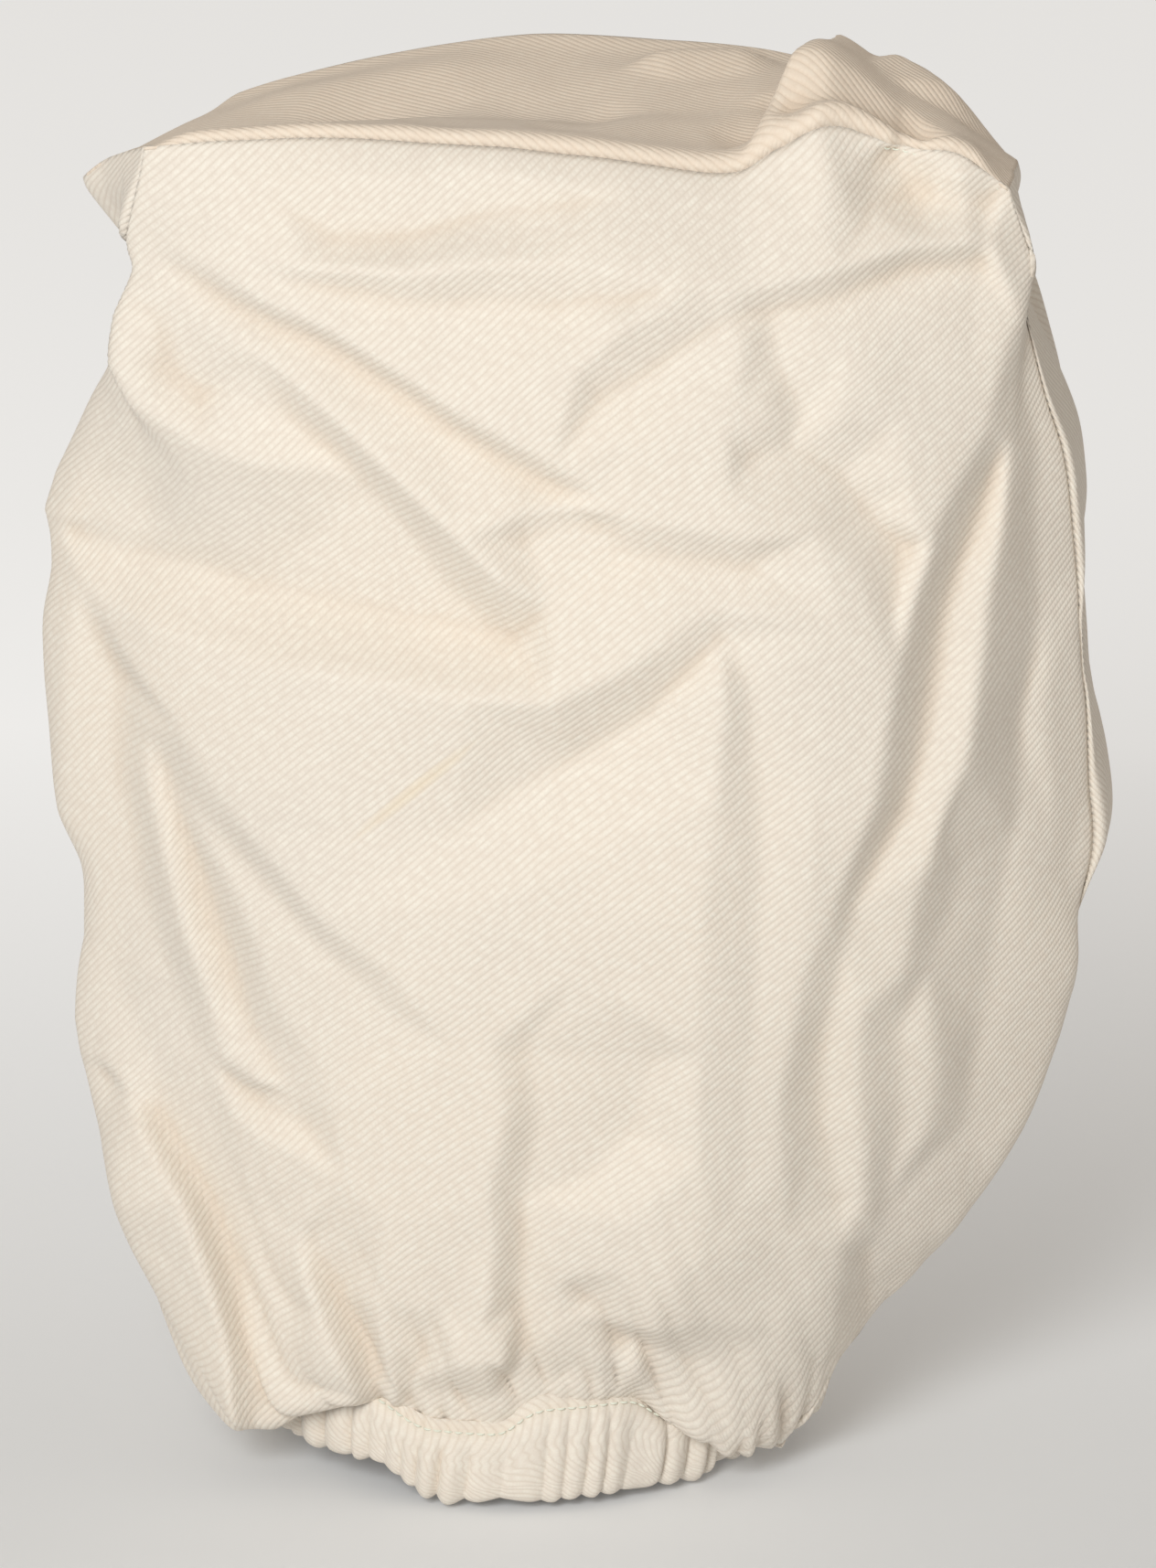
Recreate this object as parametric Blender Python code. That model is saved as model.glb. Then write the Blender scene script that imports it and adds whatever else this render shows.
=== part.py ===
"""Smoke hood: a boxy cloth hood with a gathered elastic neck and a clear face window.

Units are metres and +Z is up.  The hood stands on its hem, with z = 0 under the hem.
-Y is the nape side, which is one plain panel, and +Y is the face side, which has the window.
Run in Blender: it replaces the objects of the open scene with the hood's pieces.
"""

import math

import bmesh
import bpy
import numpy as np
from mathutils import Vector
from mathutils.bvhtree import BVHTree

# Cloth and clearances
CLOTH = 0.0016
GAP = 0.0003
SEAM_GAP = 0.00025
THREAD_RADIUS = 0.0005

# Neck hem: an oval ring of folded cloth with the elastic inside
NECK_CENTRE_X = -0.018
NECK_HALF_WIDTH = 0.072
NECK_HALF_DEPTH = 0.067
HEM_HEIGHT = 0.026
HEM_WALL = 0.0012
HEM_THICKNESS = 0.0056
HEM_STEPS = 24
NECK_SEAM_ANGLE = math.radians(28)

# Elastic strap inside the hem, measured inwards from the hem's outer face
ELASTIC_OUTER = 0.0019
ELASTIC_INNER = 0.0035
ELASTIC_LOW = 0.002
ELASTIC_HIGH = 0.022
TACK_OUTER = 0.0038
TACK_INNER = 0.0041
TACK_LOW = 0.004
TACK_HIGH = 0.020
TACK_SPAN = slice(2, 5)
STITCH_INSET = 0.0028
STITCH_HEIGHT = 0.0245

# Grid of each sewn panel
STEPS_ACROSS = 14
STEPS_UP = 20
STEPS_DEEP = 6
CURVE_STEPS = 24
SHARP_ANGLE = math.radians(45)

# How far the middle of each piece stands out from the surface through its four edges
NAPE_BULGE = 0.024
FACE_BULGE = 0.020
LEFT_BULGE = 0.005
RIGHT_BULGE = 0.007
CROWN_BULGE = 0.006
BULGE_POWER = 0.8

# Seams as hand-set points (x, y, z); the side seams start at the neck and run up
NAPE_LEFT_SEAM = [
    (-0.114, -0.038, 0.055),
    (-0.134, -0.046, 0.100),
    (-0.149, -0.054, 0.165),
    (-0.153, -0.058, 0.235),
    (-0.149, -0.058, 0.310),
    (-0.141, -0.054, 0.370),
    (-0.131, -0.050, 0.417),
]
NAPE_RIGHT_SEAM = [
    (0.076, -0.042, 0.048),
    (0.112, -0.054, 0.093),
    (0.136, -0.060, 0.150),
    (0.150, -0.063, 0.215),
    (0.149, -0.062, 0.290),
    (0.144, -0.056, 0.350),
    (0.133, -0.050, 0.397),
]
NAPE_TOP_SEAM = [
    (-0.131, -0.050, 0.417),
    (-0.058, -0.056, 0.421),
    (0.045, -0.058, 0.416),
    (0.100, -0.054, 0.411),
    (0.133, -0.050, 0.397),
]
FACE_LEFT_SEAM = [
    (-0.113, 0.042, 0.055),
    (-0.132, 0.052, 0.100),
    (-0.145, 0.060, 0.165),
    (-0.148, 0.063, 0.235),
    (-0.142, 0.062, 0.310),
    (-0.131, 0.057, 0.365),
    (-0.115, 0.050, 0.404),
]
FACE_RIGHT_SEAM = [
    (0.075, 0.043, 0.048),
    (0.110, 0.055, 0.093),
    (0.134, 0.062, 0.150),
    (0.149, 0.066, 0.215),
    (0.147, 0.064, 0.290),
    (0.140, 0.058, 0.350),
    (0.124, 0.050, 0.392),
]
FACE_TOP_SEAM = [
    (-0.115, 0.050, 0.404),
    (-0.050, 0.056, 0.417),
    (0.018, 0.057, 0.421),
    (0.075, 0.055, 0.414),
    (0.124, 0.050, 0.392),
]

# Face window
WINDOW_WIDTH = 0.200
WINDOW_HEIGHT = 0.090
WINDOW_RADIUS = 0.030
WINDOW_CENTRE_Z = 0.275
FILM_THICKNESS = 0.0005
FILM_MARGIN = 0.008
FILM_GAP = 0.0007
BINDING_WIDTH = 0.010
BINDING_THICKNESS = 0.0008
BINDING_GAP = 0.0008
CORNER_STEPS = 8
SIDE_STEPS = 4

# Colours (linear), roughness and metallic value of each material
MATERIALS = {
    "twill": ((0.79, 0.71, 0.57, 1.0), 0.88, 0.0),
    "elastic": ((0.82, 0.81, 0.77, 1.0), 0.80, 0.0),
    "thread": ((0.80, 0.80, 0.72, 1.0), 0.60, 0.0),
    "binding": ((0.76, 0.68, 0.54, 1.0), 0.85, 0.0),
    "film": ((0.90, 0.92, 0.90, 0.35), 0.12, 0.0),
}


def clear_scene():
    """Remove every object of the open scene."""
    for old in list(bpy.data.objects):
        bpy.data.objects.remove(old, do_unlink=True)


def make_material(name):
    """A Principled material with the colour, roughness and metallic value listed for it."""
    colour, roughness, metallic = MATERIALS[name]
    material = bpy.data.materials.new(name)
    material.use_nodes = True
    shader = material.node_tree.nodes["Principled BSDF"]
    shader.inputs["Base Color"].default_value = colour
    shader.inputs["Roughness"].default_value = roughness
    shader.inputs["Metallic"].default_value = metallic
    shader.inputs["Alpha"].default_value = colour[3]
    return material


def add_object(name, data, material):
    """Put mesh or curve data into the scene as a named piece."""
    piece = bpy.data.objects.new(name, data)
    piece.data.materials.append(material)
    bpy.context.scene.collection.objects.link(piece)
    return piece


def smooth_line(points, steps):
    """Equal steps along a Catmull-Rom curve through the points."""
    points = [np.array(p) for p in points]
    padded = [2 * points[0] - points[1]] + points + [2 * points[-1] - points[-2]]
    dense = []
    for a, b, c, d in zip(padded, padded[1:], padded[2:], padded[3:]):
        for t in np.linspace(0, 1, CURVE_STEPS, endpoint=False):
            dense.append(
                0.5 * (2 * b + (c - a) * t + (2 * a - 5 * b + 4 * c - d) * t**2
                       + (3 * b - a - 3 * c + d) * t**3)
            )
    dense = np.array(dense + [points[-1]])
    lengths = np.linalg.norm(np.diff(dense, axis=0), axis=1)
    travelled = np.concatenate([[0], np.cumsum(lengths)])
    wanted = np.linspace(0, travelled[-1], steps + 1)
    return np.stack([np.interp(wanted, travelled, dense[:, k]) for k in range(3)], axis=1)


def neck_point(angle, inset=0.0, height=0.0):
    """A point of the neck oval, moved inwards by inset and up by height."""
    outward = Vector((math.cos(angle) / NECK_HALF_WIDTH, math.sin(angle) / NECK_HALF_DEPTH))
    outward.normalize()
    x = NECK_CENTRE_X + NECK_HALF_WIDTH * math.cos(angle) - inset * outward.x
    y = NECK_HALF_DEPTH * math.sin(angle) - inset * outward.y
    return (x, y, height)


def neck_arc(start, end, steps):
    """Points of the neck oval at the height where the panels begin."""
    height = HEM_HEIGHT + GAP
    return np.array([neck_point(a, 0.0, height) for a in np.linspace(start, end, steps + 1)])


def coons_patch(bottom, top, left, right):
    """The grid of points that fills four edge lines, indexed [across][up]."""
    u = np.linspace(0, 1, len(bottom))[:, None, None]
    v = np.linspace(0, 1, len(left))[None, :, None]
    between_ends = (1 - v) * bottom[:, None] + v * top[:, None]
    between_sides = (1 - u) * left[None] + u * right[None]
    corners = (
        (1 - u) * (1 - v) * bottom[0]
        + u * (1 - v) * bottom[-1]
        + (1 - u) * v * top[0]
        + u * v * top[-1]
    )
    return between_ends + between_sides - corners


def bulged(grid, direction, depth):
    """Push the middle of a grid out along one direction and leave its edges."""
    u = np.linspace(0, 1, grid.shape[0])[:, None]
    v = np.linspace(0, 1, grid.shape[1])[None, :]
    rise = depth * (np.sin(np.pi * u) * np.sin(np.pi * v)) ** BULGE_POWER
    return grid + rise[:, :, None] * np.array(direction)


def seam_lines():
    """The lines along which the five sewn pieces and the hem meet."""
    angle = NECK_SEAM_ANGLE
    low = HEM_HEIGHT + GAP
    starts = {
        "nape_left": neck_point(math.pi + angle, 0.0, low),
        "nape_right": neck_point(-angle, 0.0, low),
        "face_left": neck_point(math.pi - angle, 0.0, low),
        "face_right": neck_point(angle, 0.0, low),
    }
    lines = {
        "nape_left": smooth_line([starts["nape_left"]] + NAPE_LEFT_SEAM, STEPS_UP),
        "nape_right": smooth_line([starts["nape_right"]] + NAPE_RIGHT_SEAM, STEPS_UP),
        "face_left": smooth_line([starts["face_left"]] + FACE_LEFT_SEAM, STEPS_UP),
        "face_right": smooth_line([starts["face_right"]] + FACE_RIGHT_SEAM, STEPS_UP),
        "nape_top": smooth_line(NAPE_TOP_SEAM, STEPS_ACROSS),
        "face_top": smooth_line(FACE_TOP_SEAM, STEPS_ACROSS),
    }
    for side, index in (("left", 0), ("right", -1)):
        lines["join_" + side] = np.linspace(
            lines["nape_top"][index], lines["face_top"][index], STEPS_DEEP + 1
        )
    return lines


def outer_grids(lines):
    """The outer surface of each sewn piece, and whether its grid runs clockwise seen outside."""
    turn = math.pi
    angle = NECK_SEAM_ANGLE
    nape = coons_patch(
        neck_arc(turn + angle, 2 * turn - angle, STEPS_ACROSS),
        lines["nape_top"], lines["nape_left"], lines["nape_right"],
    )
    face = coons_patch(
        neck_arc(turn - angle, angle, STEPS_ACROSS),
        lines["face_top"], lines["face_left"], lines["face_right"],
    )
    left = coons_patch(
        neck_arc(turn + angle, turn - angle, STEPS_DEEP),
        lines["join_left"], lines["nape_left"], lines["face_left"],
    )
    right = coons_patch(
        neck_arc(-angle, angle, STEPS_DEEP),
        lines["join_right"], lines["nape_right"], lines["face_right"],
    )
    crown = coons_patch(
        lines["nape_top"], lines["face_top"], lines["join_left"], lines["join_right"]
    )
    return {
        "nape_panel": (bulged(nape, (0, -1, 0), NAPE_BULGE), False),
        "face_panel": (bulged(face, (0, 1, 0), FACE_BULGE), True),
        "left_gusset": (bulged(left, (-1, 0, 0), LEFT_BULGE), True),
        "right_gusset": (bulged(right, (1, 0, 0), RIGHT_BULGE), False),
        "crown_gusset": (bulged(crown, (0, 0, 1), CROWN_BULGE), False),
    }


def grid_key(point):
    """The same key for two grid points in the same place."""
    return tuple(round(float(value), 7) for value in point)


def add_grid_faces(bm, verts, flipped):
    """Quads over a grid of vertices."""
    for column, following in zip(verts, verts[1:]):
        for row in range(len(column) - 1):
            corners = [column[row], following[row], following[row + 1], column[row + 1]]
            if flipped:
                corners.reverse()
            bm.faces.new(corners)


def inward_offsets(grids):
    """For each point of the joined skin, the step to the cloth's inner face.

    Seam points get one shared step, so that two pieces meet in a mitre.
    """
    bm = bmesh.new()
    found = {}
    for grid, flipped in grids.values():
        verts = []
        for column in grid:
            verts.append([])
            for point in column:
                key = grid_key(point)
                if key not in found:
                    found[key] = bm.verts.new(point)
                verts[-1].append(found[key])
        add_grid_faces(bm, verts, flipped)
    bm.normal_update()
    offsets = {}
    for key, vert in found.items():
        offsets[key] = np.array(vert.normal) * -CLOTH * vert.calc_shell_factor()
    bm.free()
    return offsets


def pulled_from_seams(grid, seam_sides):
    """Draw the named sides of a grid back from their seams by a hair."""
    moved = grid.copy()
    if "left" in seam_sides:
        moved[0] += SEAM_GAP * unit(grid[1] - grid[0])
    if "right" in seam_sides:
        moved[-1] += SEAM_GAP * unit(grid[-2] - grid[-1])
    if "bottom" in seam_sides:
        moved[:, 0] += SEAM_GAP * unit(grid[:, 1] - grid[:, 0])
    if "top" in seam_sides:
        moved[:, -1] += SEAM_GAP * unit(grid[:, -2] - grid[:, -1])
    return moved


def unit(steps):
    """Rows of vectors, each of length one."""
    return steps / np.linalg.norm(steps, axis=-1, keepdims=True)


def border(columns, rows):
    """Grid indices round the edge of a grid, in order."""
    path = [(c, 0) for c in range(columns - 1)]
    path += [(columns - 1, r) for r in range(rows - 1)]
    path += [(c, rows - 1) for c in range(columns - 1, 0, -1)]
    path += [(0, r) for r in range(rows - 1, 0, -1)]
    return path


def closed_shell(name, outer, inner, flipped, material):
    """A closed solid between an outer and an inner grid."""
    bm = bmesh.new()
    outside = [[bm.verts.new(p) for p in column] for column in outer]
    inside = [[bm.verts.new(p) for p in column] for column in inner]
    add_grid_faces(bm, outside, flipped)
    add_grid_faces(bm, inside, not flipped)
    path = border(len(outside), len(outside[0]))
    for (c0, r0), (c1, r1) in zip(path, path[1:] + path[:1]):
        bm.faces.new([outside[c0][r0], inside[c0][r0], inside[c1][r1], outside[c1][r1]])
    bmesh.ops.recalc_face_normals(bm, faces=bm.faces)
    mesh = bpy.data.meshes.new(name)
    bm.to_mesh(mesh)
    bm.free()
    mesh.shade_smooth()
    mesh.set_sharp_from_angle(angle=SHARP_ANGLE)
    return add_object(name, mesh, material)


def swept_solid(name, sections, material, closed=False):
    """A closed solid through equal cross-sections, as a bar or as a ring."""
    bm = bmesh.new()
    loops = [[bm.verts.new(p) for p in section] for section in sections]
    pairs = list(zip(loops, loops[1:]))
    if closed:
        pairs.append((loops[-1], loops[0]))
    for near, far in pairs:
        for k in range(len(near)):
            after = (k + 1) % len(near)
            bm.faces.new([near[k], near[after], far[after], far[k]])
    if not closed:
        bm.faces.new(loops[0])
        bm.faces.new(loops[-1])
    bmesh.ops.recalc_face_normals(bm, faces=bm.faces)
    mesh = bpy.data.meshes.new(name)
    bm.to_mesh(mesh)
    bm.free()
    mesh.shade_smooth()
    mesh.set_sharp_from_angle(angle=SHARP_ANGLE)
    return add_object(name, mesh, material)


def thread_run(name, points, material, closed=False):
    """A sewing thread as a thin tube along the points."""
    curve = bpy.data.curves.new(name, "CURVE")
    curve.dimensions = "3D"
    curve.bevel_depth = THREAD_RADIUS
    curve.bevel_resolution = 1
    curve.use_fill_caps = True
    spline = curve.splines.new("POLY")
    spline.points.add(len(points) - 1)
    for slot, point in zip(spline.points, points):
        slot.co = (*point, 1.0)
    spline.use_cyclic_u = closed
    return add_object(name, curve, material)


def sew_panels(lines, materials):
    """The nape and face panels and the three gusset pieces, each a cloth shell."""
    grids = outer_grids(lines)
    offsets = inward_offsets(grids)
    sides = {
        "nape_panel": ("left", "right", "top"),
        "face_panel": ("left", "right", "top"),
        "left_gusset": ("left", "right", "top"),
        "right_gusset": ("left", "right", "top"),
        "crown_gusset": ("left", "right", "top", "bottom"),
    }
    pieces = {}
    for name, (grid, flipped) in grids.items():
        steps = np.array([[offsets[grid_key(p)] for p in column] for column in grid])
        outer = pulled_from_seams(grid, sides[name])
        pieces[name] = closed_shell(name, outer, outer + steps, flipped, materials["twill"])
    return pieces, grids, offsets


def inside_corner(points, offsets):
    """Where a thread lies: against the inner faces of the two pieces that meet at a seam."""
    reach = (CLOTH + GAP + THREAD_RADIUS) / CLOTH
    return [np.array(p) + reach * offsets[grid_key(p)] for p in points]


def trimmed(points, clearance):
    """A line with both ends cut back by the clearance."""
    first = points[0] + clearance * unit(points[1] - points[0])
    last = points[-1] + clearance * unit(points[-2] - points[-1])
    return [first] + list(points[1:-1]) + [last]


def sew_seams(lines, offsets, material):
    """The thread of each panel's long seam and of the two gusset joins."""
    end_clearance = 0.004
    for side in ("nape", "face"):
        up = list(lines[side + "_left"][:-1])
        over = list(lines[side + "_top"][:-1])
        down = list(lines[side + "_right"][::-1])
        run = trimmed(inside_corner(up + over + down, offsets), end_clearance)
        thread_run(side + "_seam_thread", run, material)
    for side in ("left", "right"):
        run = trimmed(inside_corner(lines["join_" + side], offsets), end_clearance)
        thread_run(side + "_gusset_join_thread", run, material)


def half_angles(side):
    """Angles of one half of the neck oval: the nape half or the chin half."""
    split = math.asin(GAP / NECK_HALF_DEPTH)
    start = math.pi if side == "nape" else 0.0
    return np.linspace(start + split, start + math.pi - split, HEM_STEPS + 1)


def box_section(angle, outer, inner, low, high):
    """A rectangular cross-section of something that follows the neck oval."""
    return [
        neck_point(angle, outer, high),
        neck_point(angle, outer, low),
        neck_point(angle, inner, low),
        neck_point(angle, inner, high),
    ]


def hem_section(angle):
    """The folded hem's cross-section: a channel that is open at its top."""
    wall = HEM_WALL
    far = HEM_THICKNESS
    outline = [
        (0, HEM_HEIGHT), (0, 0), (far, 0), (far, HEM_HEIGHT),
        (far - wall, HEM_HEIGHT), (far - wall, wall), (wall, wall), (wall, HEM_HEIGHT),
    ]
    return [neck_point(angle, inset, height) for inset, height in outline]


def make_hem(side, materials):
    """One half of the neck hem: folded casing, elastic strap and stitch line."""
    angles = half_angles(side)
    casing = swept_solid(
        "hem_casing_" + side, [hem_section(a) for a in angles], materials["twill"]
    )
    strap = swept_solid(
        "neck_elastic_" + side,
        [box_section(a, ELASTIC_OUTER, ELASTIC_INNER, ELASTIC_LOW, ELASTIC_HIGH) for a in angles],
        materials["elastic"],
    )
    stitches = thread_run(
        "hem_stitching_" + side,
        [neck_point(a, STITCH_INSET, STITCH_HEIGHT) for a in angles],
        materials["thread"],
    )
    return [casing, strap, stitches]


def make_elastic_tack(material):
    """The patch of zigzag stitches that closes the elastic's loop, on its nape half."""
    angles = half_angles("nape")[TACK_SPAN]
    sections = [box_section(a, TACK_OUTER, TACK_INNER, TACK_LOW, TACK_HIGH) for a in angles]
    swept_solid("elastic_join_tack", sections, material)


def window_half_width(height, margin):
    """Half the width of the rounded window at a height above its centre."""
    radius = WINDOW_RADIUS + margin
    beyond = abs(height) - (WINDOW_HEIGHT / 2 - WINDOW_RADIUS)
    corner = math.sqrt(max(radius**2 - max(beyond, 0.0) ** 2, 0.0))
    return WINDOW_WIDTH / 2 - WINDOW_RADIUS + corner


def window_loop(margin):
    """Points (x, z) round the window's outline, moved outwards by the margin."""
    reach_x = WINDOW_WIDTH / 2 - WINDOW_RADIUS
    reach_z = WINDOW_HEIGHT / 2 - WINDOW_RADIUS
    radius = WINDOW_RADIUS + margin
    loop = []
    for quarter, (sx, sz) in enumerate(((1, 1), (-1, 1), (-1, -1), (1, -1))):
        for step in range(CORNER_STEPS + 1):
            angle = math.pi / 2 * (quarter + step / CORNER_STEPS)
            x = sx * reach_x + radius * math.cos(angle)
            z = sz * reach_z + radius * math.sin(angle)
            loop.append((x, WINDOW_CENTRE_Z + z))
    return with_split_sides(loop)


def with_split_sides(loop):
    """The same closed outline with its long straight sides cut into equal steps."""
    finer = []
    for (x0, z0), (x1, z1) in zip(loop, loop[1:] + loop[:1]):
        is_side = math.hypot(x1 - x0, z1 - z0) > WINDOW_HEIGHT / 4
        parts = SIDE_STEPS if is_side else 1
        for k in range(parts):
            share = k / parts
            finer.append((x0 + (x1 - x0) * share, z0 + (z1 - z0) * share))
    return finer


def face_surface(grid):
    """A function that gives the face panel's outer y at (x, z)."""
    columns, rows = grid.shape[:2]
    points = [Vector(p) for column in grid for p in column]
    quads = []
    for c in range(columns - 1):
        for r in range(rows - 1):
            corner = c * rows + r
            quads.append((corner, corner + rows, corner + rows + 1, corner + 1))
    tree = BVHTree.FromPolygons(points, quads)

    def outer_y(x, z):
        hit = tree.ray_cast(Vector((x, 1.0, z)), Vector((0, -1, 0)))[0]
        return hit.y

    return outer_y


def cut_window(face_panel):
    """Cut the rounded window through the face panel."""
    near, far = 0.02, 0.13
    loop = window_loop(0.0)
    sections = [[(x, y, z) for x, z in loop] for y in (near, far)]
    cutter = swept_solid("window_cutter", sections, face_panel.data.materials[0])
    cutter.hide_render = True
    cutter.display_type = "WIRE"
    cut = face_panel.modifiers.new("window", "BOOLEAN")
    cut.operation = "DIFFERENCE"
    cut.solver = "EXACT"
    cut.object = cutter


def make_film(outer_y, material):
    """The clear film, held behind the window's edge."""
    across, up = 16, 8
    half = WINDOW_HEIGHT / 2 + FILM_MARGIN
    outer = np.zeros((across + 1, up + 1, 3))
    for c, u in enumerate(np.linspace(-1, 1, across + 1)):
        for r, v in enumerate(np.linspace(-1, 1, up + 1)):
            height = v * half
            x = u * window_half_width(height, FILM_MARGIN)
            z = WINDOW_CENTRE_Z + height
            outer[c, r] = (x, outer_y(x, z) - CLOTH - FILM_GAP, z)
    inner = outer - np.array((0, FILM_THICKNESS, 0))
    closed_shell("window_film", outer, inner, True, material)


def make_binding(outer_y, materials):
    """The tape round the window and its stitching."""
    near = window_loop(0.0005)
    far = window_loop(BINDING_WIDTH)
    sections = []
    for (x0, z0), (x1, z1) in zip(near, far):
        low0 = outer_y(x0, z0) + BINDING_GAP
        low1 = outer_y(x1, z1) + BINDING_GAP
        sections.append([
            (x0, low0, z0),
            (x1, low1, z1),
            (x1, low1 + BINDING_THICKNESS, z1),
            (x0, low0 + BINDING_THICKNESS, z0),
        ])
    swept_solid("window_binding", sections, materials["binding"], closed=True)
    lift = BINDING_GAP + BINDING_THICKNESS + 2 * GAP + THREAD_RADIUS
    middle = window_loop(BINDING_WIDTH / 2)
    points = [(x, outer_y(x, z) + lift, z) for x, z in middle]
    thread_run("window_stitching", points, materials["thread"], closed=True)


def hang_on_joint(pieces):
    """Parent the chin half of the hem to an empty on its sliding axis."""
    slide = bpy.data.objects.new("neck_stretch", None)
    slide.location = (NECK_CENTRE_X, 0.0, 0.0)
    bpy.context.scene.collection.objects.link(slide)
    shift = Vector(slide.location)
    for piece in pieces:
        if piece.type == "MESH":
            for vert in piece.data.vertices:
                vert.co -= shift
        else:
            for point in piece.data.splines[0].points:
                point.co.xyz -= shift
        piece.parent = slide


def build():
    """Make every piece of the hood."""
    clear_scene()
    materials = {name: make_material(name) for name in MATERIALS}
    lines = seam_lines()
    pieces, grids, offsets = sew_panels(lines, materials)
    sew_seams(lines, offsets, materials["thread"])
    outer_y = face_surface(grids["face_panel"][0])
    cut_window(pieces["face_panel"])
    make_film(outer_y, materials["film"])
    make_binding(outer_y, materials)
    make_hem("nape", materials)
    hang_on_joint(make_hem("chin", materials))
    make_elastic_tack(materials["thread"])


build()
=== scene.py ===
"""Looks of the smoke hood: gathered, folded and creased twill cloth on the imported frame."""

import math

import bmesh
import bpy
import numpy as np
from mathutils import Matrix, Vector
from mathutils.bvhtree import BVHTree
from mathutils.geometry import delaunay_2d_cdt


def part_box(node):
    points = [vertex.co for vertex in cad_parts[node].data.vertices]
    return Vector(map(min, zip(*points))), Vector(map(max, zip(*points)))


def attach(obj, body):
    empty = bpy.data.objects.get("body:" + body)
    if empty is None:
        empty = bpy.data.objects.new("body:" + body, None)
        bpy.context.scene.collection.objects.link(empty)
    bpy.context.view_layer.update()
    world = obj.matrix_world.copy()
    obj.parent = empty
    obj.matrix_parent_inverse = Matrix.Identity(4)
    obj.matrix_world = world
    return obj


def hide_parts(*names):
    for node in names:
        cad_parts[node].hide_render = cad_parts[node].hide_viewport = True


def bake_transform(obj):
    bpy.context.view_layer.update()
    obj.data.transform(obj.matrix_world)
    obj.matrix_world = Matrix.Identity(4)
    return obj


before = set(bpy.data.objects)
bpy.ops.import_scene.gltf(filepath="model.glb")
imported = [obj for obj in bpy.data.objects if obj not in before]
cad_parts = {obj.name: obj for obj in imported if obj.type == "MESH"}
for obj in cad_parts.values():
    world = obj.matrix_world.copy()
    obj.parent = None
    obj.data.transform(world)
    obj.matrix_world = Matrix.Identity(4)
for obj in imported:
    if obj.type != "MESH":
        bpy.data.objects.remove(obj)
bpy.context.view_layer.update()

MM = 0.001

# ---------------------------------------------------------------- sizes from the frame

HEM_LOW = [min(a, b) for a, b in zip(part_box("hem_casing_nape")[0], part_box("hem_casing_chin")[0])]
HEM_HIGH = [max(a, b) for a, b in zip(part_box("hem_casing_nape")[1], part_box("hem_casing_chin")[1])]
NECK_X = (HEM_LOW[0] + HEM_HIGH[0]) / 2
NECK_HALF_WIDTH = (HEM_HIGH[0] - HEM_LOW[0]) / 2
NECK_HALF_DEPTH = (HEM_HIGH[1] - HEM_LOW[1]) / 2
HEM_HEIGHT = HEM_HIGH[2]
STITCH_LEVEL = HEM_HEIGHT - 1.0 * MM

WINDOW_MARGIN = 8 * MM
WINDOW_RADIUS = 30 * MM
FILM_LOW, FILM_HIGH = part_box("window_film")
WINDOW_X = (FILM_LOW[0] + FILM_HIGH[0]) / 2
WINDOW_Z = (FILM_LOW[2] + FILM_HIGH[2]) / 2
WINDOW_HALF_X = (FILM_HIGH[0] - FILM_LOW[0]) / 2 - WINDOW_MARGIN
WINDOW_HALF_Z = (FILM_HIGH[2] - FILM_LOW[2]) / 2 - WINDOW_MARGIN

# ---------------------------------------------------------------- the cloth and its hem

CLOTH = 0.9 * MM
# the twill's ridge spacing and the yarn's step along a ridge, in millimetres
WALE = 1.85
YARN = 1.25
# a faint streak: centre, angle, half length and half width
STAIN = ((-43.0, 232.0), 40.0, 27.0, 2.6)
# steps of the grids across a panel, up it and through a gusset
ACROSS, UP, DEEP = 190, 250, 56
STITCH_SIDES = 6

NECK_SEAM_ANGLE = math.radians(28)
NECK_MEAN_RADIUS = 75
HEM_TILT = 8 * MM
FRONT_RISE = 8 * MM
FRONT_RISE_ANGLE = math.radians(70)
GATHER = 8.4
# the cloth that bags over the hem's ends: how far out and how far down, in millimetres
RIGHT_BAG = (8.0, 21.0)
LEFT_BAG = (9.5, 16.0)
# the casing's section as (out, up) from the stitch line, in millimetres
HEM_DEPTH = 24.4
HEM_PROFILE = [
    (-1.3, 3.2), (-1.0, 1.2), (0.0, -0.2), (1.6, -1.4), (2.6, -3.5), (2.9, -7.0), (2.9, -11.0),
    (2.7, -15.0), (2.4, -19.0), (1.8, -22.0), (0.6, -23.8), (-1.4, -24.4), (-3.4, -23.6),
    (-4.6, -21.5), (-5.0, -18.0), (-5.1, -13.0), (-5.0, -8.0), (-4.6, -3.0), (-4.2, 0.5),
    (-4.4, 4.0),
]

# how folds and creases are rounded, and how steeply the crease lists look down on the front
SOFT_FOOT = 0.16
CREASE_SOFTNESS = 1.3
LOOK_DOWN = 0.325
TABLE_LEFT, TABLE_HEIGHT = 180, 460

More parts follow.
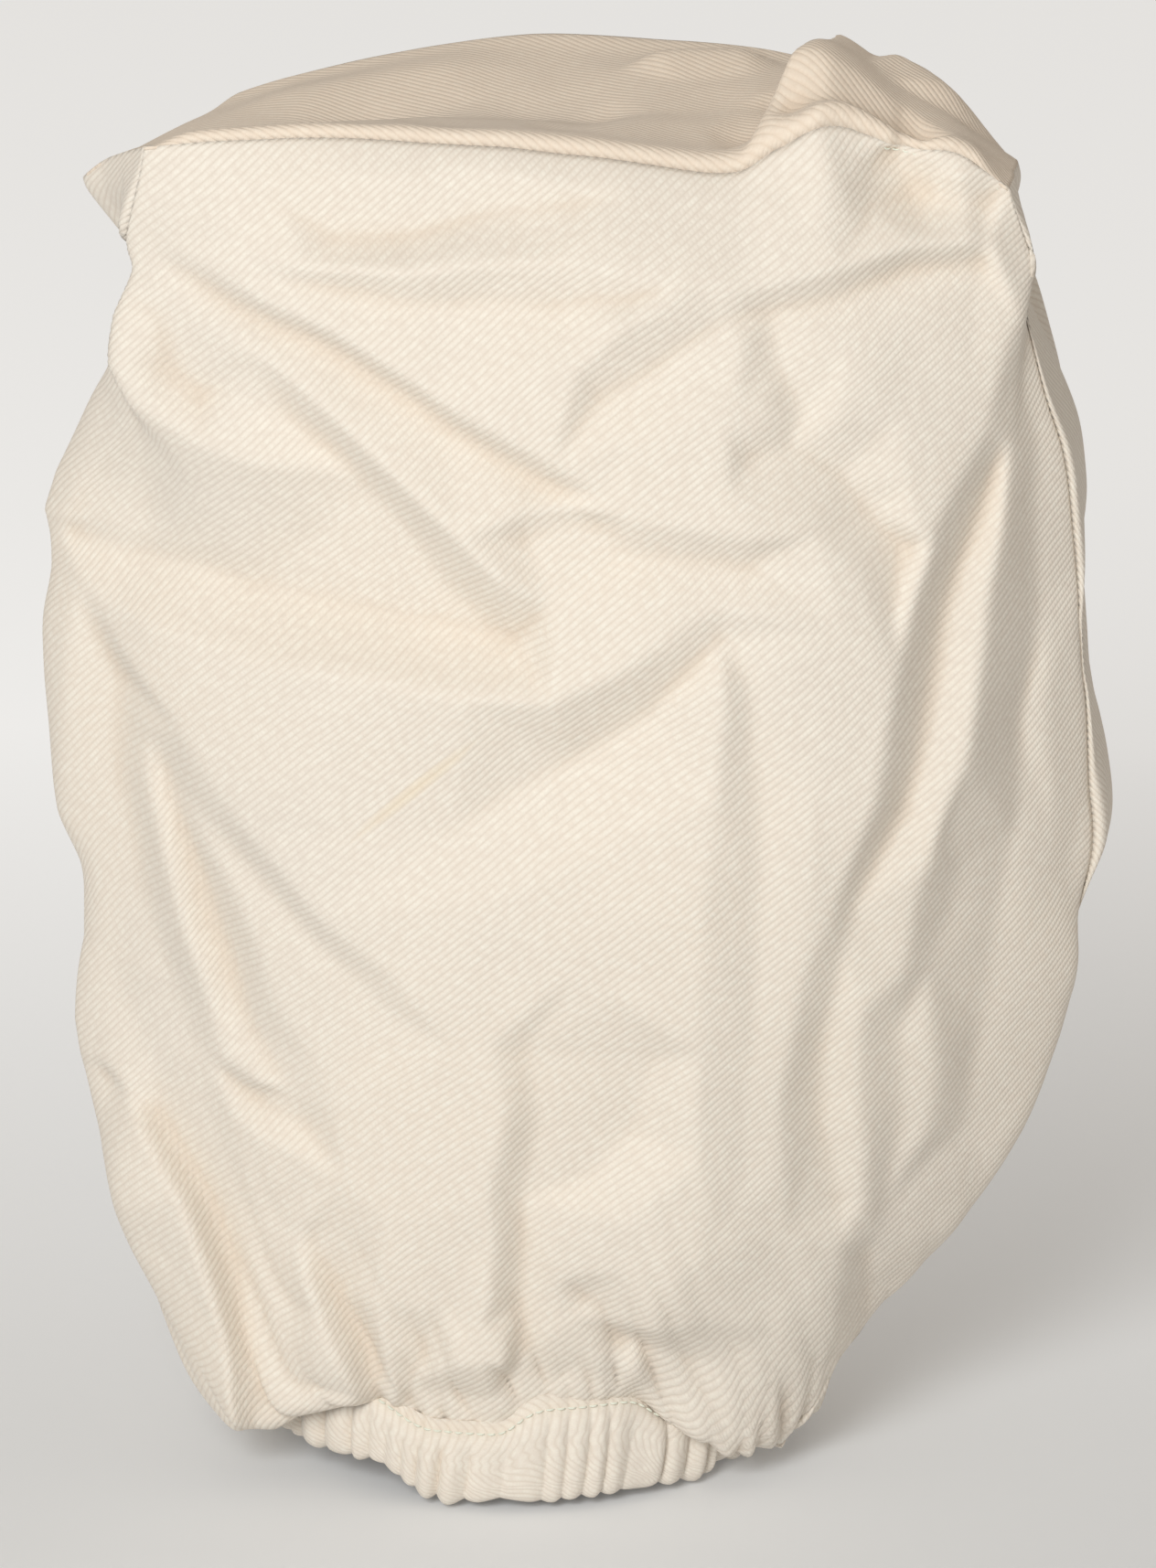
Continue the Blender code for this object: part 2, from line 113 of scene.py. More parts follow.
# cloth raised beside seams: axis, from its end, direction, height and width in millimetres
ROLLED_EDGES = {
    "nape_panel": [(0, False, (-1, 0, 0), 0.9, 3.2), (0, True, (1, 0, 0), 0.6, 3.2),
                   (1, True, (0, -0.5, 0.8), 0.7, 3.2)],
    "face_panel": [(0, False, (-1, 0, 0), 0.9, 3.2), (0, True, (1, 0, 0), 0.9, 3.2),
                   (1, True, (0, 0.5, 0.8), 0.7, 3.2)],
    "left_gusset": [(0, False, (-1, -0.4, 0), 1.9, 3.2), (0, True, (-1, 0.4, 0), 1.9, 3.2)],
    "right_gusset": [(0, False, (0.5, -1, 0), 3.4, 4.2), (0, True, (1, 0.4, 0), 1.9, 3.2)],
    "crown_gusset": [(1, False, (0, -0.4, 1), 3.4, 5.0), (1, True, (0, 0.5, 1), 2.4, 3.2)],
}

# ---------------------------------------------------------------- seams, in millimetres

NAPE_LEFT_SEAM = [
    (-106, -24, 45), (-124, -16, 85), (-138, -8, 150), (-142, -8, 220), (-140, -10, 300),
    (-134, -24, 350), (-128, -42, 385), (-122, -50, 415),
]
NAPE_RIGHT_SEAM = [
    (78, -28, 48), (103, -24, 70), (127, -18, 102), (142, -16, 135), (151, -18, 170),
    (154, -22, 205), (152, -26, 250), (146, -32, 310), (140, -42, 365), (128, -50, 405),
]
NAPE_TOP_SEAM = [
    (-122, -50, 415), (-85, -54, 419), (-40, -56, 419), (10, -57, 415), (45, -56, 411),
    (60, -55, 417), (75, -53, 423), (95, -52, 417), (112, -51, 416), (128, -50, 405),
]
FACE_LEFT_SEAM = [
    (-98, 30, 45), (-118, 44, 80), (-138, 58, 150), (-143, 61, 230), (-136, 59, 310),
    (-125, 54, 360), (-112, 48, 398),
]
FACE_RIGHT_SEAM = [
    (62, 32, 45), (88, 44, 70), (125, 58, 125), (147, 64, 200), (146, 62, 290),
    (136, 56, 345), (118, 48, 390),
]
FACE_TOP_SEAM = [
    (-112, 48, 398), (-100, 50, 406), (-60, 54, 416), (-15, 56, 422), (20, 56, 421),
    (60, 54, 418), (95, 52, 405), (118, 48, 390),
]
LEFT_JOIN = [(-122, -50, 415), (-135, -22, 404), (-143, -6, 394), (-128, 26, 396), (-112, 48, 398)]
RIGHT_JOIN = [(128, -50, 405), (130, -20, 404), (125, 16, 398), (118, 48, 390)]
# how far the nape panel's left side swells past its seam, as (level, width)
LEFT_SWELL = [
    (14, 3), (40, 14), (70, 21), (136, 26), (162, 23), (209, 28), (276, 34), (294, 40),
    (321, 34), (350, 28), (364, 19), (377, 7), (390, 0),
]

# ---------------------------------------------------------------- folds, in millimetres


def fold(points, height, near, far=None, lean=0.0, ends=(0.3, 0.3), crest=0.22):
    """A fold along points: near and far are its widths left and right of its direction.

    A negative height is a valley.  lean moves the fold's top to the left of its direction.
    ends are the shares of its length over which it fades, and crest is 0 for a knife edge.
    """
    far = near if far is None else far
    return {"points": points, "height": height, "near": near, "far": far,
            "lean": lean, "ends": ends, "crest": crest}


# The nape panel's creases as (x, z, height): ridges and valleys, with flat cloth between them
NAPE_CREASES = [
    # level lines round the panel's edge
    [(-160, 430, 0), (-122, 416, 0), (-85, 419, 0), (-40, 419, 0), (10, 415, 0), (45, 411, 0),
     (75, 423, 0), (128, 406, 0), (160, 430, 0)],
    [(-158, 380, 0), (-160, 300, 0), (-160, 180, 0), (-158, 140, 2), (-150, 90, 11), (-130, 20, 10)],
    [(142, 370, 0), (156, 300, 0), (162, 220, 0), (156, 165, 0), (130, 90, 0), (100, 20, 0)],
    [(-60, 10, 0), (0, 14, 0), (50, 10, 0)],
    # upper left
    [(-118, 402, 2), (-95, 405, 3), (-60, 408, 3), (-20, 409, 3), (20, 405, 3), (50, 401, 2)],
    [(-82, 398, 0), (-66, 389, -4), (-45, 388, -5), (-15, 396, -3), (5, 401, -1)],
    [(-96, 386, 3), (-72, 381, 3), (-40, 381, 4), (0, 384, 4), (40, 384, 3)],
    [(-84, 378, 1), (-60, 372, -3), (-30, 369, -4), (0, 369, -4), (22, 372, -1)],
    # the first long dent between its banks
    [(-110, 384, 2), (-88, 373, 3), (-62, 360, 3), (-35, 344, 4), (0, 324, 4), (14, 315, 2)],
    [(-121, 386, 0), (-92, 368, -4), (-62, 352, -6), (-34, 336, -5), (0, 316, -4), (10, 309, -2)],
    [(-112, 372, 1), (-90, 358, 3), (-66, 338, 6), (-48, 322, 8), (-30, 306, 9), (-18, 294, 7)],
    # the second one, and the rib and the hollow left of it
    [(-92, 350, 0), (-77, 336, -3), (-58, 319, -4), (-43, 303, -5), (-34, 289, -8), (-14, 271, -9)],
    [(-130, 376, 1), (-127, 352, 6), (-118, 338, 8), (-104, 329, 8), (-86, 326, 5)],
    [(-119, 366, -1), (-116, 350, -4), (-107, 343, -4), (-97, 344, 0)],
    # the valley from the left edge, its dark upper bank and its lit lower one
    [(-150, 350, 4), (-134, 344, 7)],
    [(-155, 298, -5), (-125, 292, -12), (-90, 284, -13), (-52, 278, -12), (-14, 271, -9)],
    [(-148, 286, 3), (-125, 276, 5), (-90, 267, 7), (-55, 262, 7), (-25, 256, 7), (0, 257, 7),
     (20, 266, 5), (38, 280, 2)],
    # middle
    [(-8, 312, 3), (22, 309, 3), (58, 304, 4)],
    [(-10, 303, -1), (20, 299, -3), (54, 294, -3)],
    [(-2, 284, 1), (24, 288, 1), (48, 284, 2)],
    [(46, 274, -2), (26, 250, -4), (4, 233, -4), (-30, 213, -1)],
    [(10, 206, 4), (-20, 192, 4)],
    [(47, 262, 4), (46, 225, 5), (43, 185, 5), (41, 150, 4), (42, 116, 4), (44, 84, 6), (44, 62, 5)],
    [(54, 258, 0), (56, 228, -1), (58, 195, 0), (58, 150, 1), (55, 108, 2)],
    [(72, 230, 3), (72, 170, 3), (68, 130, 3), (68, 90, 4), (62, 62, 5)],
    # left side
    [(-136, 268, 4), (-113, 242, 6), (-93, 215, 7), (-72, 190, 6), (-45, 165, 5), (-30, 148, 3)],
    [(-106, 216, 0), (-86, 194, 0), (-66, 173, 0), (-48, 156, 1)],
    [(-132, 256, -6), (-131, 225, -8), (-127, 192, -8), (-118, 160, -5), (-111, 143, -3)],
    [(-125, 240, -1), (-119, 205, 2), (-110, 172, 3), (-103, 146, 3)],
    [(-119, 228, -5), (-110, 200, -8), (-101, 172, -8), (-91, 148, -4), (-80, 130, -1)],
    [(-107, 208, 0), (-97, 190, 2), (-86, 164, 3), (-74, 142, 2)],
    [(-141, 172, -4), (-134, 154, -6), (-123, 137, -3)],
    [(-102, 141, 2), (-88, 134, 4), (-68, 124, 3)],
    [(-107, 138, -1), (-96, 130, -4), (-76, 118, -3)],
    [(-96, 122, 3), (-66, 104, 3), (-52, 92, 3)],
    # the flap with its steep right edge
    [(-142, 138, 1), (-127, 118, 6), (-114, 97, 9), (-102, 66, 11), (-91, 40, 10)],
    [(-137, 131, -4), (-120, 111, -6), (-107, 91, -7), (-95, 63, -6), (-83, 37, -4)],
    [(-103, 112, -2), (-90, 90, -3), (-82, 66, -3), (-75, 42, -3), (-68, 24, -3)],
    [(-132, 76, 6), (-117, 44, 6)],
    # a narrower one beside it
    [(-80, 84, 0), (-73, 66, 5), (-66, 46, 6), (-60, 26, 5)],
    [(-75, 83, -3), (-67, 66, -6), (-59, 46, -7), (-52, 22, -5)],
    [(-54, 64, 3), (-52, 46, 2), (-50, 34, 2)],
    [(-34, 62, 0), (-40, 49, -4), (-45, 34, -5)],
    [(-30, 47, 5), (-22, 47, 5), (-16, 45, 4)],
    # the long upright crease above the hem
    [(-18, 150, 2), (-16, 124, 3), (-20, 98, 3), (-21, 66, 3), (-24, 58, 3)],
    [(-10, 146, -3), (-8, 124, -5), (-12, 98, -5), (-13, 62, -6), (-15, 42, -6), (-20, 33, -4)],
    [(-12, 98, -5), (8, 107, -6), (20, 120, -6), (27, 146, -3)],
    [(4, 172, 3), (16, 166, 3)],
    [(20, 92, 3), (30, 70, 6), (26, 58, 5), (2, 58, 0)],
    # upper right
    [(8, 354, 4), (20, 367, 4), (36, 379, 3)],
    [(12, 343, -2), (28, 354, -4), (46, 368, -3)],
    [(22, 332, 3), (36, 336, 3), (50, 346, 2), (51, 362, 0)],
    # the sunken pocket
    [(52, 378, 2), (78, 384, 2), (100, 391, 4), (122, 392, 3)],
    [(56, 369, -6), (76, 374, -6), (97, 381, -6), (120, 384, -4)],
    [(56, 369, -5), (60, 353, -5), (67, 339, -5), (65, 330, -5), (54, 327, -2)],
    [(58, 345, 0), (56, 336, 1), (48, 334, 3)],
    [(72, 400, 2), (88, 401, -4), (106, 402, -6), (120, 401, -4)],
    [(80, 360, -1), (100, 366, -1), (118, 356, 3)],
    [(80, 340, 0), (98, 340, 2), (112, 334, 5)],
    [(50, 317, 3), (64, 312, 2), (76, 304, 2), (88, 293, 3)],
    [(65, 330, -5), (80, 321, -5), (89, 310, -5), (99, 300, -4)],
    [(100, 320, 4), (103, 308, 6)],
    # the great fold, its shadow and the lit triangle
    [(131, 370, 4), (122, 338, 6), (107, 306, 7), (98, 264, 7), (89, 222, 6), (80, 194, 3)],
    [(133, 352, -2), (124, 322, -4), (114, 292, -5), (106, 258, -6), (97, 222, -5), (84, 190, -2)],
    [(128, 336, 2), (126, 304, 6), (122, 272, 6), (115, 240, 6), (107, 206, 4)],
    [(84, 276, 5), (80, 232, 4)],
    [(136, 330, -4), (137, 280, -8), (132, 246, -9), (130, 212, -8), (126, 180, -8)],
    [(141, 262, -3), (143, 205, -3), (138, 175, -5)],
    [(111, 216, 0), (115, 202, -5), (113, 188, -6), (109, 172, -3)],
    [(104, 196, 3), (102, 172, 2)],
    # hanging folds below
    [(83, 180, -1), (79, 150, -3), (78, 120, -3), (81, 98, -1)],
    [(91, 160, 3), (90, 124, 3), (90, 98, 3)],
    [(101, 152, -2), (99, 120, -3), (95, 94, -2)],
    [(111, 150, 2), (108, 118, 0)],
    [(122, 150, -7), (118, 118, -6)],
    [(94, 86, 0), (89, 78, -4), (88, 66, -5), (84, 50, -3)],
    [(82, 84, 4), (81, 66, 5), (76, 50, 4)],
    [(14, 38, -2), (26, 49, -4), (42, 50, -4), (60, 44, -2)],
]

NAPE_FOLDS = [
    fold([(0, 78), (9, 69), (18, 57), (19, 46)], -4.5, 9, 6, crest=0.12),
    fold([(70, 424), (78, 408), (84, 396)], 3.5, 7, 8, ends=(0.1, 0.5)),
    fold([(92, 418), (98, 406), (104, 396)], -4.0, 7, 7, ends=(0.1, 0.5)),
    fold([(112, 414), (114, 402), (118, 390)], 2.5, 6, 6, ends=(0.1, 0.5)),
]

CROWN_FOLDS = [
    # the big tuck on the right of the crown: steep on its left side, long on its right
    fold([(52, -56), (66, -32), (75, -8), (80, 26)], 17.5, 6, 26, lean=2.0,
         ends=(0.35, 0.2), crest=0.15),
    fold([(88, 16), (102, 8), (114, -8)], 7.0, 16, 13, ends=(0.3, 0.3)),
    fold([(56, -44), (84, -40), (112, -40)], -7.0, 7, 6, ends=(0.2, 0.2)),
    fold([(44, -48), (58, -22), (65, 10)], -4.0, 10, 5, ends=(0.3, 0.3), crest=0.2),
    # a lift of the rear edge and a shallow sag of the middle
    fold([(12, 26), (34, 34), (62, 40)], 4.5, 8, 10),
    fold([(-90, -8), (-30, -2), (30, 2)], -5.0, 26, 26),
    fold([(-110, 20), (-60, 26), (-10, 30)], 2.0, 14),
    fold([(-120, -20), (-92, -26), (-60, -30)], -2.5, 9, 9),
    fold([(-70, -44), (-40, -20), (-20, 12)], 1.5, 9, 12),
    fold([(-10, -46), (6, -20), (12, 8)], -1.8, 8, 10),
]

FACE_FOLDS = [
    fold([(-110, 392), (-90, 370), (-78, 346)], -3.5, 10, 12),
    fold([(100, 386), (84, 364), (76, 342)], -4.0, 12, 10),
    fold([(-130, 250), (-112, 212), (-88, 178)], -5.0, 12, 14),
    fold([(-120, 200), (-60, 188), (0, 196)], 4.0, 12, 16),
    fold([(130, 250), (114, 206), (90, 160)], -6.0, 12, 14),
    fold([(-70, 200), (-56, 150), (-52, 90), (-56, 40)], -5.5, 12, 9, ends=(0.4, 0.1)),
    fold([(-40, 190), (-24, 140), (-28, 80), (-34, 36)], 5.0, 12, 10, ends=(0.4, 0.1)),
    fold([(50, 190), (30, 140), (8, 90), (-4, 40)], -5.5, 10, 14, ends=(0.4, 0.1)),
    fold([(96, 180), (72, 130), (44, 84), (24, 46)], 6.0, 12, 10, ends=(0.4, 0.1)),
    fold([(-110, 150), (-98, 100), (-84, 50)], 4.5, 10, 10, ends=(0.4, 0.1)),
    fold([(-60, 405), (0, 396), (60, 402)], -2.5, 10, 12),
    fold([(124, 330), (118, 290), (120, 250)], 3.5, 10, 10),
    fold([(-128, 340), (-122, 300), (-124, 260)], 3.0, 10, 10),
]

# Side folds lie in (y, z); a positive height stands outwards
LEFT_FOLDS = [
    fold([(-46, 378), (0, 370), (46, 372)], -20.0, 14, 66, ends=(0.1, 0.1)),
    fold([(-40, 300), (-6, 280), (24, 240)], -4.0, 12, 14),
    fold([(30, 340), (8, 300), (-20, 270)], 3.0, 10, 12),
    fold([(-30, 200), (0, 170), (20, 120)], -4.5, 12, 12),
    fold([(20, 190), (-4, 130), (-10, 70)], 3.5, 12, 10),
    fold([(0, 120), (6, 80), (2, 40)], -4.0, 8, 8, ends=(0.4, 0.1)),
]
RIGHT_FOLDS = [
    fold([(-46, 384), (0, 376), (46, 380)], -15.0, 14, 34, ends=(0.1, 0.1)),
    fold([(-30, 270), (10, 266), (46, 268)], -5.0, 22, 26, ends=(0.2, 0.2)),
    fold([(-30, 206), (10, 202), (46, 206)], 3.0, 20, 20, ends=(0.2, 0.2)),
    fold([(40, 310), (10, 280), (-30, 250)], -4.0, 10, 12),
    fold([(-20, 200), (6, 160), (16, 110)], -5.0, 12, 12),
    fold([(24, 180), (4, 130), (-6, 70)], 4.0, 10, 10),
    fold([(0, 110), (-4, 76), (2, 46)], -4.0, 8, 8, ends=(0.4, 0.1)),
]

# ---------------------------------------------------------------- lines and surfaces


def travelled(points, axis=0):
    """The distance gone along one axis of a line or a grid of points, from 0."""
    steps = np.linalg.norm(np.diff(points, axis=axis), axis=-1)
    start = np.zeros_like(steps.take([0], axis))
    return np.concatenate([start, np.cumsum(steps, axis=axis)], axis=axis)


def part_way(wanted, gone, values):
    """The rows of values at the wanted distances, where gone holds the distance of each row."""
    return np.stack([np.interp(wanted, gone, column) for column in values.T], axis=-1)


def smooth_line(points, steps):
    """Equal steps along a Catmull-Rom curve through the points."""
    points = [np.array(p, float) for p in points]
    padded = [2 * points[0] - points[1]] + points + [2 * points[-1] - points[-2]]
    dense = []
    for a, b, c, d in zip(padded, padded[1:], padded[2:], padded[3:]):
        for t in np.linspace(0, 1, 24, endpoint=False):
            dense.append(0.5 * (2 * b + (c - a) * t + (2 * a - 5 * b + 4 * c - d) * t**2
                                + (3 * b - a - 3 * c + d) * t**3))
    dense = np.array(dense + [points[-1]])
    gone = travelled(dense)
    return part_way(np.linspace(0, gone[-1], steps + 1), gone, dense)


def ramp(low, high, value):
    """0 below low, 1 above high, and smooth between."""
    t = np.clip((value - low) / (high - low), 0, 1)
    return t * t * (3 - 2 * t)


def early_peak(t):
    """0 at 0, a peak of 1 at 1, and a long fading tail."""
    return t * np.exp(1 - t)


def value_noise(points, size, seed):
    """Smooth noise from -1 to 1 at the points, with features of the given size."""
    table = np.random.RandomState(seed).uniform(-1, 1, (32, 32, 32))
    place = np.asarray(points) / size + 1000.0
    cell = np.floor(place).astype(int)
    part = place - cell
    part = part * part * (3 - 2 * part)
    total = np.zeros(place.shape[:-1])
    for corner in np.ndindex(2, 2, 2):
        index = (cell + np.array(corner)) % 32
        weight = np.prod(np.where(np.array(corner) == 1, part, 1 - part), axis=-1)
        total += weight * table[index[..., 0], index[..., 1], index[..., 2]]
    return total


def noise_pair(points, size, seed):
    """Two columns of smooth noise, which move a flat place about."""
    return np.stack([value_noise(points, size, seed), value_noise(points, size, seed + 1)], axis=1)


def coons_patch(bottom, top, left, right):
    """The grid of points that fills four edge lines, indexed [across][up]."""
    u = np.linspace(0, 1, len(bottom))[:, None, None]
    v = np.linspace(0, 1, len(left))[None, :, None]
    between_ends = (1 - v) * bottom[:, None] + v * top[:, None]
    between_sides = (1 - u) * left[None] + u * right[None]
    corners = ((1 - u) * (1 - v) * bottom[0] + u * (1 - v) * bottom[-1]
               + (1 - u) * v * top[0] + u * v * top[-1])
    return between_ends + between_sides - corners


def bulged(grid, direction, depth, power=0.8):
    """Push the middle of a grid out along one direction and leave its edges."""
    u = np.linspace(0, 1, grid.shape[0])[:, None]
    v = np.linspace(0, 1, grid.shape[1])[None, :]
    rise = depth * np.sin(np.pi * u) ** power * np.sin(np.pi * v) ** power
    return grid + rise[:, :, None] * np.array(direction)


def swollen(grid, direction, depth):
    """Push a grid out like a full sack: level in the middle and steep towards its sides."""
    u = np.linspace(-1, 1, grid.shape[0])[:, None]
    v = np.linspace(0, 1, grid.shape[1])[None, :]
    upright = np.where(v < 0.5, np.sin(np.pi * v), 1 - np.abs(2 * v - 1) ** 3)
    rise = depth * (1 - np.abs(u) ** 3) * upright
    return grid + rise[:, :, None] * np.array(direction)


# ---------------------------------------------------------------- the neck's oval


def neck_angle(points):
    """The angle round the neck oval at which each point lies."""
    across = (points[..., 0] - NECK_X) / NECK_HALF_WIDTH
    return np.arctan2(points[..., 1] / NECK_HALF_DEPTH, across)


def on_circle(angles, width=1.0, depth=1.0):
    """Points of a level oval round the origin."""
    return np.stack([np.cos(angles) / width, np.sin(angles) / depth, 0 * angles], axis=-1)


def neck_outward(angles):
    """The direction straight out of the neck oval at each angle, of length 1."""
    outward = on_circle(angles, NECK_HALF_WIDTH, NECK_HALF_DEPTH)
    return outward / np.linalg.norm(outward, axis=-1, keepdims=True)


def left_rise(angle):
    """How much the whole hem rides up round its left end."""
    left = -np.cos(angle)
    return HEM_TILT * ramp(0.3, 0.6, left) * (1 - 0.6 * ramp(0.8, 1.0, left))


def front_rise(angle):
    """How much taller the hem is in one stretch of the front."""
    turn = np.arctan2(np.sin(angle), np.cos(angle))
    return FRONT_RISE * np.exp(-((turn + FRONT_RISE_ANGLE) / 0.3) ** 6)


def neck_line(angles, inset=0.0):
    """Points of the stitch line round the neck."""
    x = NECK_X + (NECK_HALF_WIDTH - inset) * np.cos(angles)
    y = (NECK_HALF_DEPTH - inset) * np.sin(angles)
    return np.stack([x, y, STITCH_LEVEL + left_rise(angles) + front_rise(angles)], axis=-1)


def gather_wave(angle, lift, pitch, seed):
    """Round-topped pleats with sharp valleys, from 0 to 1, round the neck oval."""
    around = on_circle(angle)
    phase = angle * math.pi * NECK_MEAN_RADIUS / pitch
    phase = phase + 2.2 * value_noise(around, 0.16, seed) + 0.11 * lift
    phase = phase + 0.7 * value_noise(around, 0.4, seed + 1) * lift / 10
    size = 0.68 + 0.6 * value_noise(around, 0.13, seed + 2)
    return size * np.abs(np.cos(phase)) ** 0.8


# ---------------------------------------------------------------- folding the skin


def fold_field(places, folds):
    """Height and sideways shift of all folds at flat places (N, 2), in millimetres."""
    height = np.zeros(len(places))
    shift = np.zeros_like(places)
    for item in folds:
        line = smooth_line(item["points"], 20)
        reach = 3.2 * max(item["near"], item["far"])
        inside = (places > line.min(axis=0) - reach) & (places < line.max(axis=0) + reach)
        near = np.flatnonzero(inside.all(axis=1))
        close = places[near]
        best = np.full(len(close), 1e9)
        side, along = np.zeros((2, len(close)))
        leftward = np.zeros_like(close)
        for k, (start, end) in enumerate(zip(line, line[1:])):
            step = end - start
            share = np.clip((close - start) @ step / (step @ step), 0, 1)
            away = close - start - share[:, None] * step
            distance = np.linalg.norm(away, axis=1)
            left = np.array([-step[1], step[0]]) / np.linalg.norm(step)
            closer = distance < best
            best = np.where(closer, distance, best)
            side = np.where(closer, away @ left, side)
            along = np.where(closer, (k + share) / 20, along)
            leftward[closer] = left
        blend = ramp(-2, 2, side)
        width = item["near"] * blend + item["far"] * (1 - blend)
        first, last = item["ends"]
        fade = ramp(0, first, along) * ramp(0, last, 1 - along)
        width = 1.3 * width * (0.35 + 0.65 * fade)
        slope = 1 + item["crest"] - np.hypot(best / width, item["crest"])
        profile = (np.hypot(slope, SOFT_FOOT) + slope) / 2 * fade
        height[near] += item["height"] * profile
        shift[near] += item["lean"] * profile[:, None] * leftward
    return height, shift


def push(points, axes, outward, folds, mask):
    """The change that folds in the plane of two axes make, where mask is above zero."""
    places = points[:, axes] / MM + 1.6 * noise_pair(points, 26 * MM, 5)
    height, shift = fold_field(places, folds)
    change = (mask * height * MM)[:, None] * np.array(outward)
    for k, axis in enumerate(axes):
        change[:, axis] += mask * shift[:, k] * MM
    return change


def crease_levels(corners, origins, points, heights, edges):
    """The height of each corner of the crease network."""
    levels = []
    for corner, origin in zip(corners, origins):
        if origin:
            levels.append(sum(heights[k] for k in origin) / len(origin))
            continue
        # where two creases cross, both ends of the nearer one decide
        _, a, b = min(((points[a] - corner).length + (points[b] - corner).length
                       - (points[a] - points[b]).length, a, b) for a, b in edges)
        share = (corner - points[a]).length / (points[b] - points[a]).length
        levels.append(heights[a] * (1 - share) + heights[b] * share)
    return levels


def crease_table(lines):
    """Heights on a 1 mm grid (x from -TABLE_LEFT, z from 0) of cloth flat between its creases."""
    points, heights, edges = [], [], []
    for line in lines:
        for k, (x, z, height) in enumerate(line):
            if k:
                edges.append((len(points) - 1, len(points)))
            points.append(Vector((x, z)))
            heights.append(height)
    corners, _, triangles, origins, _, _ = delaunay_2d_cdt(points, edges, [], 0, 0.01)
    levels = crease_levels(corners, origins, points, heights, edges)
    table = np.zeros((2 * TABLE_LEFT + 1, TABLE_HEIGHT + 1))
    for a, b, c in triangles:
        (x1, z1), (x2, z2), (x3, z3) = corners[a], corners[b], corners[c]
        x, z = np.meshgrid(np.arange(int(min(x1, x2, x3)) - 1, int(max(x1, x2, x3)) + 2),
                           np.arange(int(min(z1, z2, z3)) - 1, int(max(z1, z2, z3)) + 2),
                           indexing="ij")
        area = (z2 - z3) * (x1 - x3) + (x3 - x2) * (z1 - z3)
        if abs(area) < 0.01:
            continue
        first = ((z2 - z3) * (x - x3) + (x3 - x2) * (z - z3)) / area
        second = ((z3 - z1) * (x - x3) + (x1 - x3) * (z - z3)) / area
        third = 1 - first - second
        inside = (first > -0.001) & (second > -0.001) & (third > -0.001)
        value = first * levels[a] + second * levels[b] + third * levels[c]
        table[x[inside] + TABLE_LEFT, z[inside]] = value[inside]
    reach = np.arange(-6, 7)
    kernel = np.exp(-((reach / CREASE_SOFTNESS) ** 2) / 2)
    kernel /= kernel.sum()
    for axis in (0, 1):
        table = np.apply_along_axis(np.convolve, axis, table, kernel, mode="same")
    return table


NAPE_TABLE = crease_table(NAPE_CREASES)


def look_up(table, places):
    """The table's value at each (x, z) in millimetres, linear between its cells."""
    place = np.clip(places + (TABLE_LEFT, 0), 0, np.array(table.shape) - 1.001)
    cell = place.astype(int)
    part = place - cell
    x, z = cell[:, 0], cell[:, 1]
    low = table[x, z] * (1 - part[:, 0]) + table[x + 1, z] * part[:, 0]
    high = table[x, z + 1] * (1 - part[:, 0]) + table[x + 1, z + 1] * part[:, 0]
    return low * (1 - part[:, 1]) + high * part[:, 1]


def creases(points, mask):
    """The change that the nape panel's creases make.

    The crease lists give heights on a nearly flat front; cloth that stands forward of it takes
    them from lower down, as they look from slightly above.
    """
    places = points[:, (0, 2)] / MM
    flat_front = -52 - 16 * np.cos(np.clip(places[:, 0] / 160, -1, 1) * math.pi / 2) * np.cos(
        np.clip((places[:, 1] - 215) / 215, -1, 1) * math.pi / 2)
    places[:, 1] += LOOK_DOWN * (points[:, 1] / MM - flat_front)
    change = np.zeros_like(points)
    heights = look_up(NAPE_TABLE, places + 1.3 * noise_pair(points, 22 * MM, 7))
    change[:, 1] = -mask * MM * heights
    return change


def gathers(points):
    """The change that the pleats over the stitch line make, and the sagging bags at both ends."""
    angle = neck_angle(points)
    lift = np.linalg.norm(points - neck_line(angle), axis=-1) / MM
    fine = gather_wave(angle, lift, GATHER, 21)
    broad = gather_wave(angle, lift, 1.7 * GATHER, 31)
    fine_size = 2.4 * ramp(-1, 3, lift) * np.exp(-lift / 12)
    broad_size = 6.5 * ramp(1, 14, lift) * np.exp(-lift / 30)
    right = ramp(0.5, 0.85, np.cos(angle))
    left = ramp(0.45, 0.85, -np.cos(angle))
    near = early_peak(lift / 11)
    out = fine_size * (fine - 0.3) + broad_size * (broad - 0.4) + 0.8 * near
    out += near * (RIGHT_BAG[0] * right + LEFT_BAG[0] * left)
    drop = near * (RIGHT_BAG[1] * right + LEFT_BAG[1] * left) * (0.9 + 0.2 * fine)
    change = neck_outward(angle) * (out * MM)[:, None]
    change[:, 2] = np.maximum(-drop * MM, 1.5 * MM - points[:, 2])
    return change


def crumple(points):
    """Faint irregular dents all over, which make the cloth look used."""
    change = np.zeros_like(points)
    low = ramp(10 * MM, 60 * MM, points[:, 2] - HEM_HEIGHT)
    for size, depth, seed in ((75, 2.4, 41), (34, 1.1, 51), (15, 0.35, 61)):
        for axis in range(3):
            dent = value_noise(points, size * MM, seed + axis)
            change[:, axis] += low * depth * MM * dent * np.abs(dent) ** 0.3
    return change


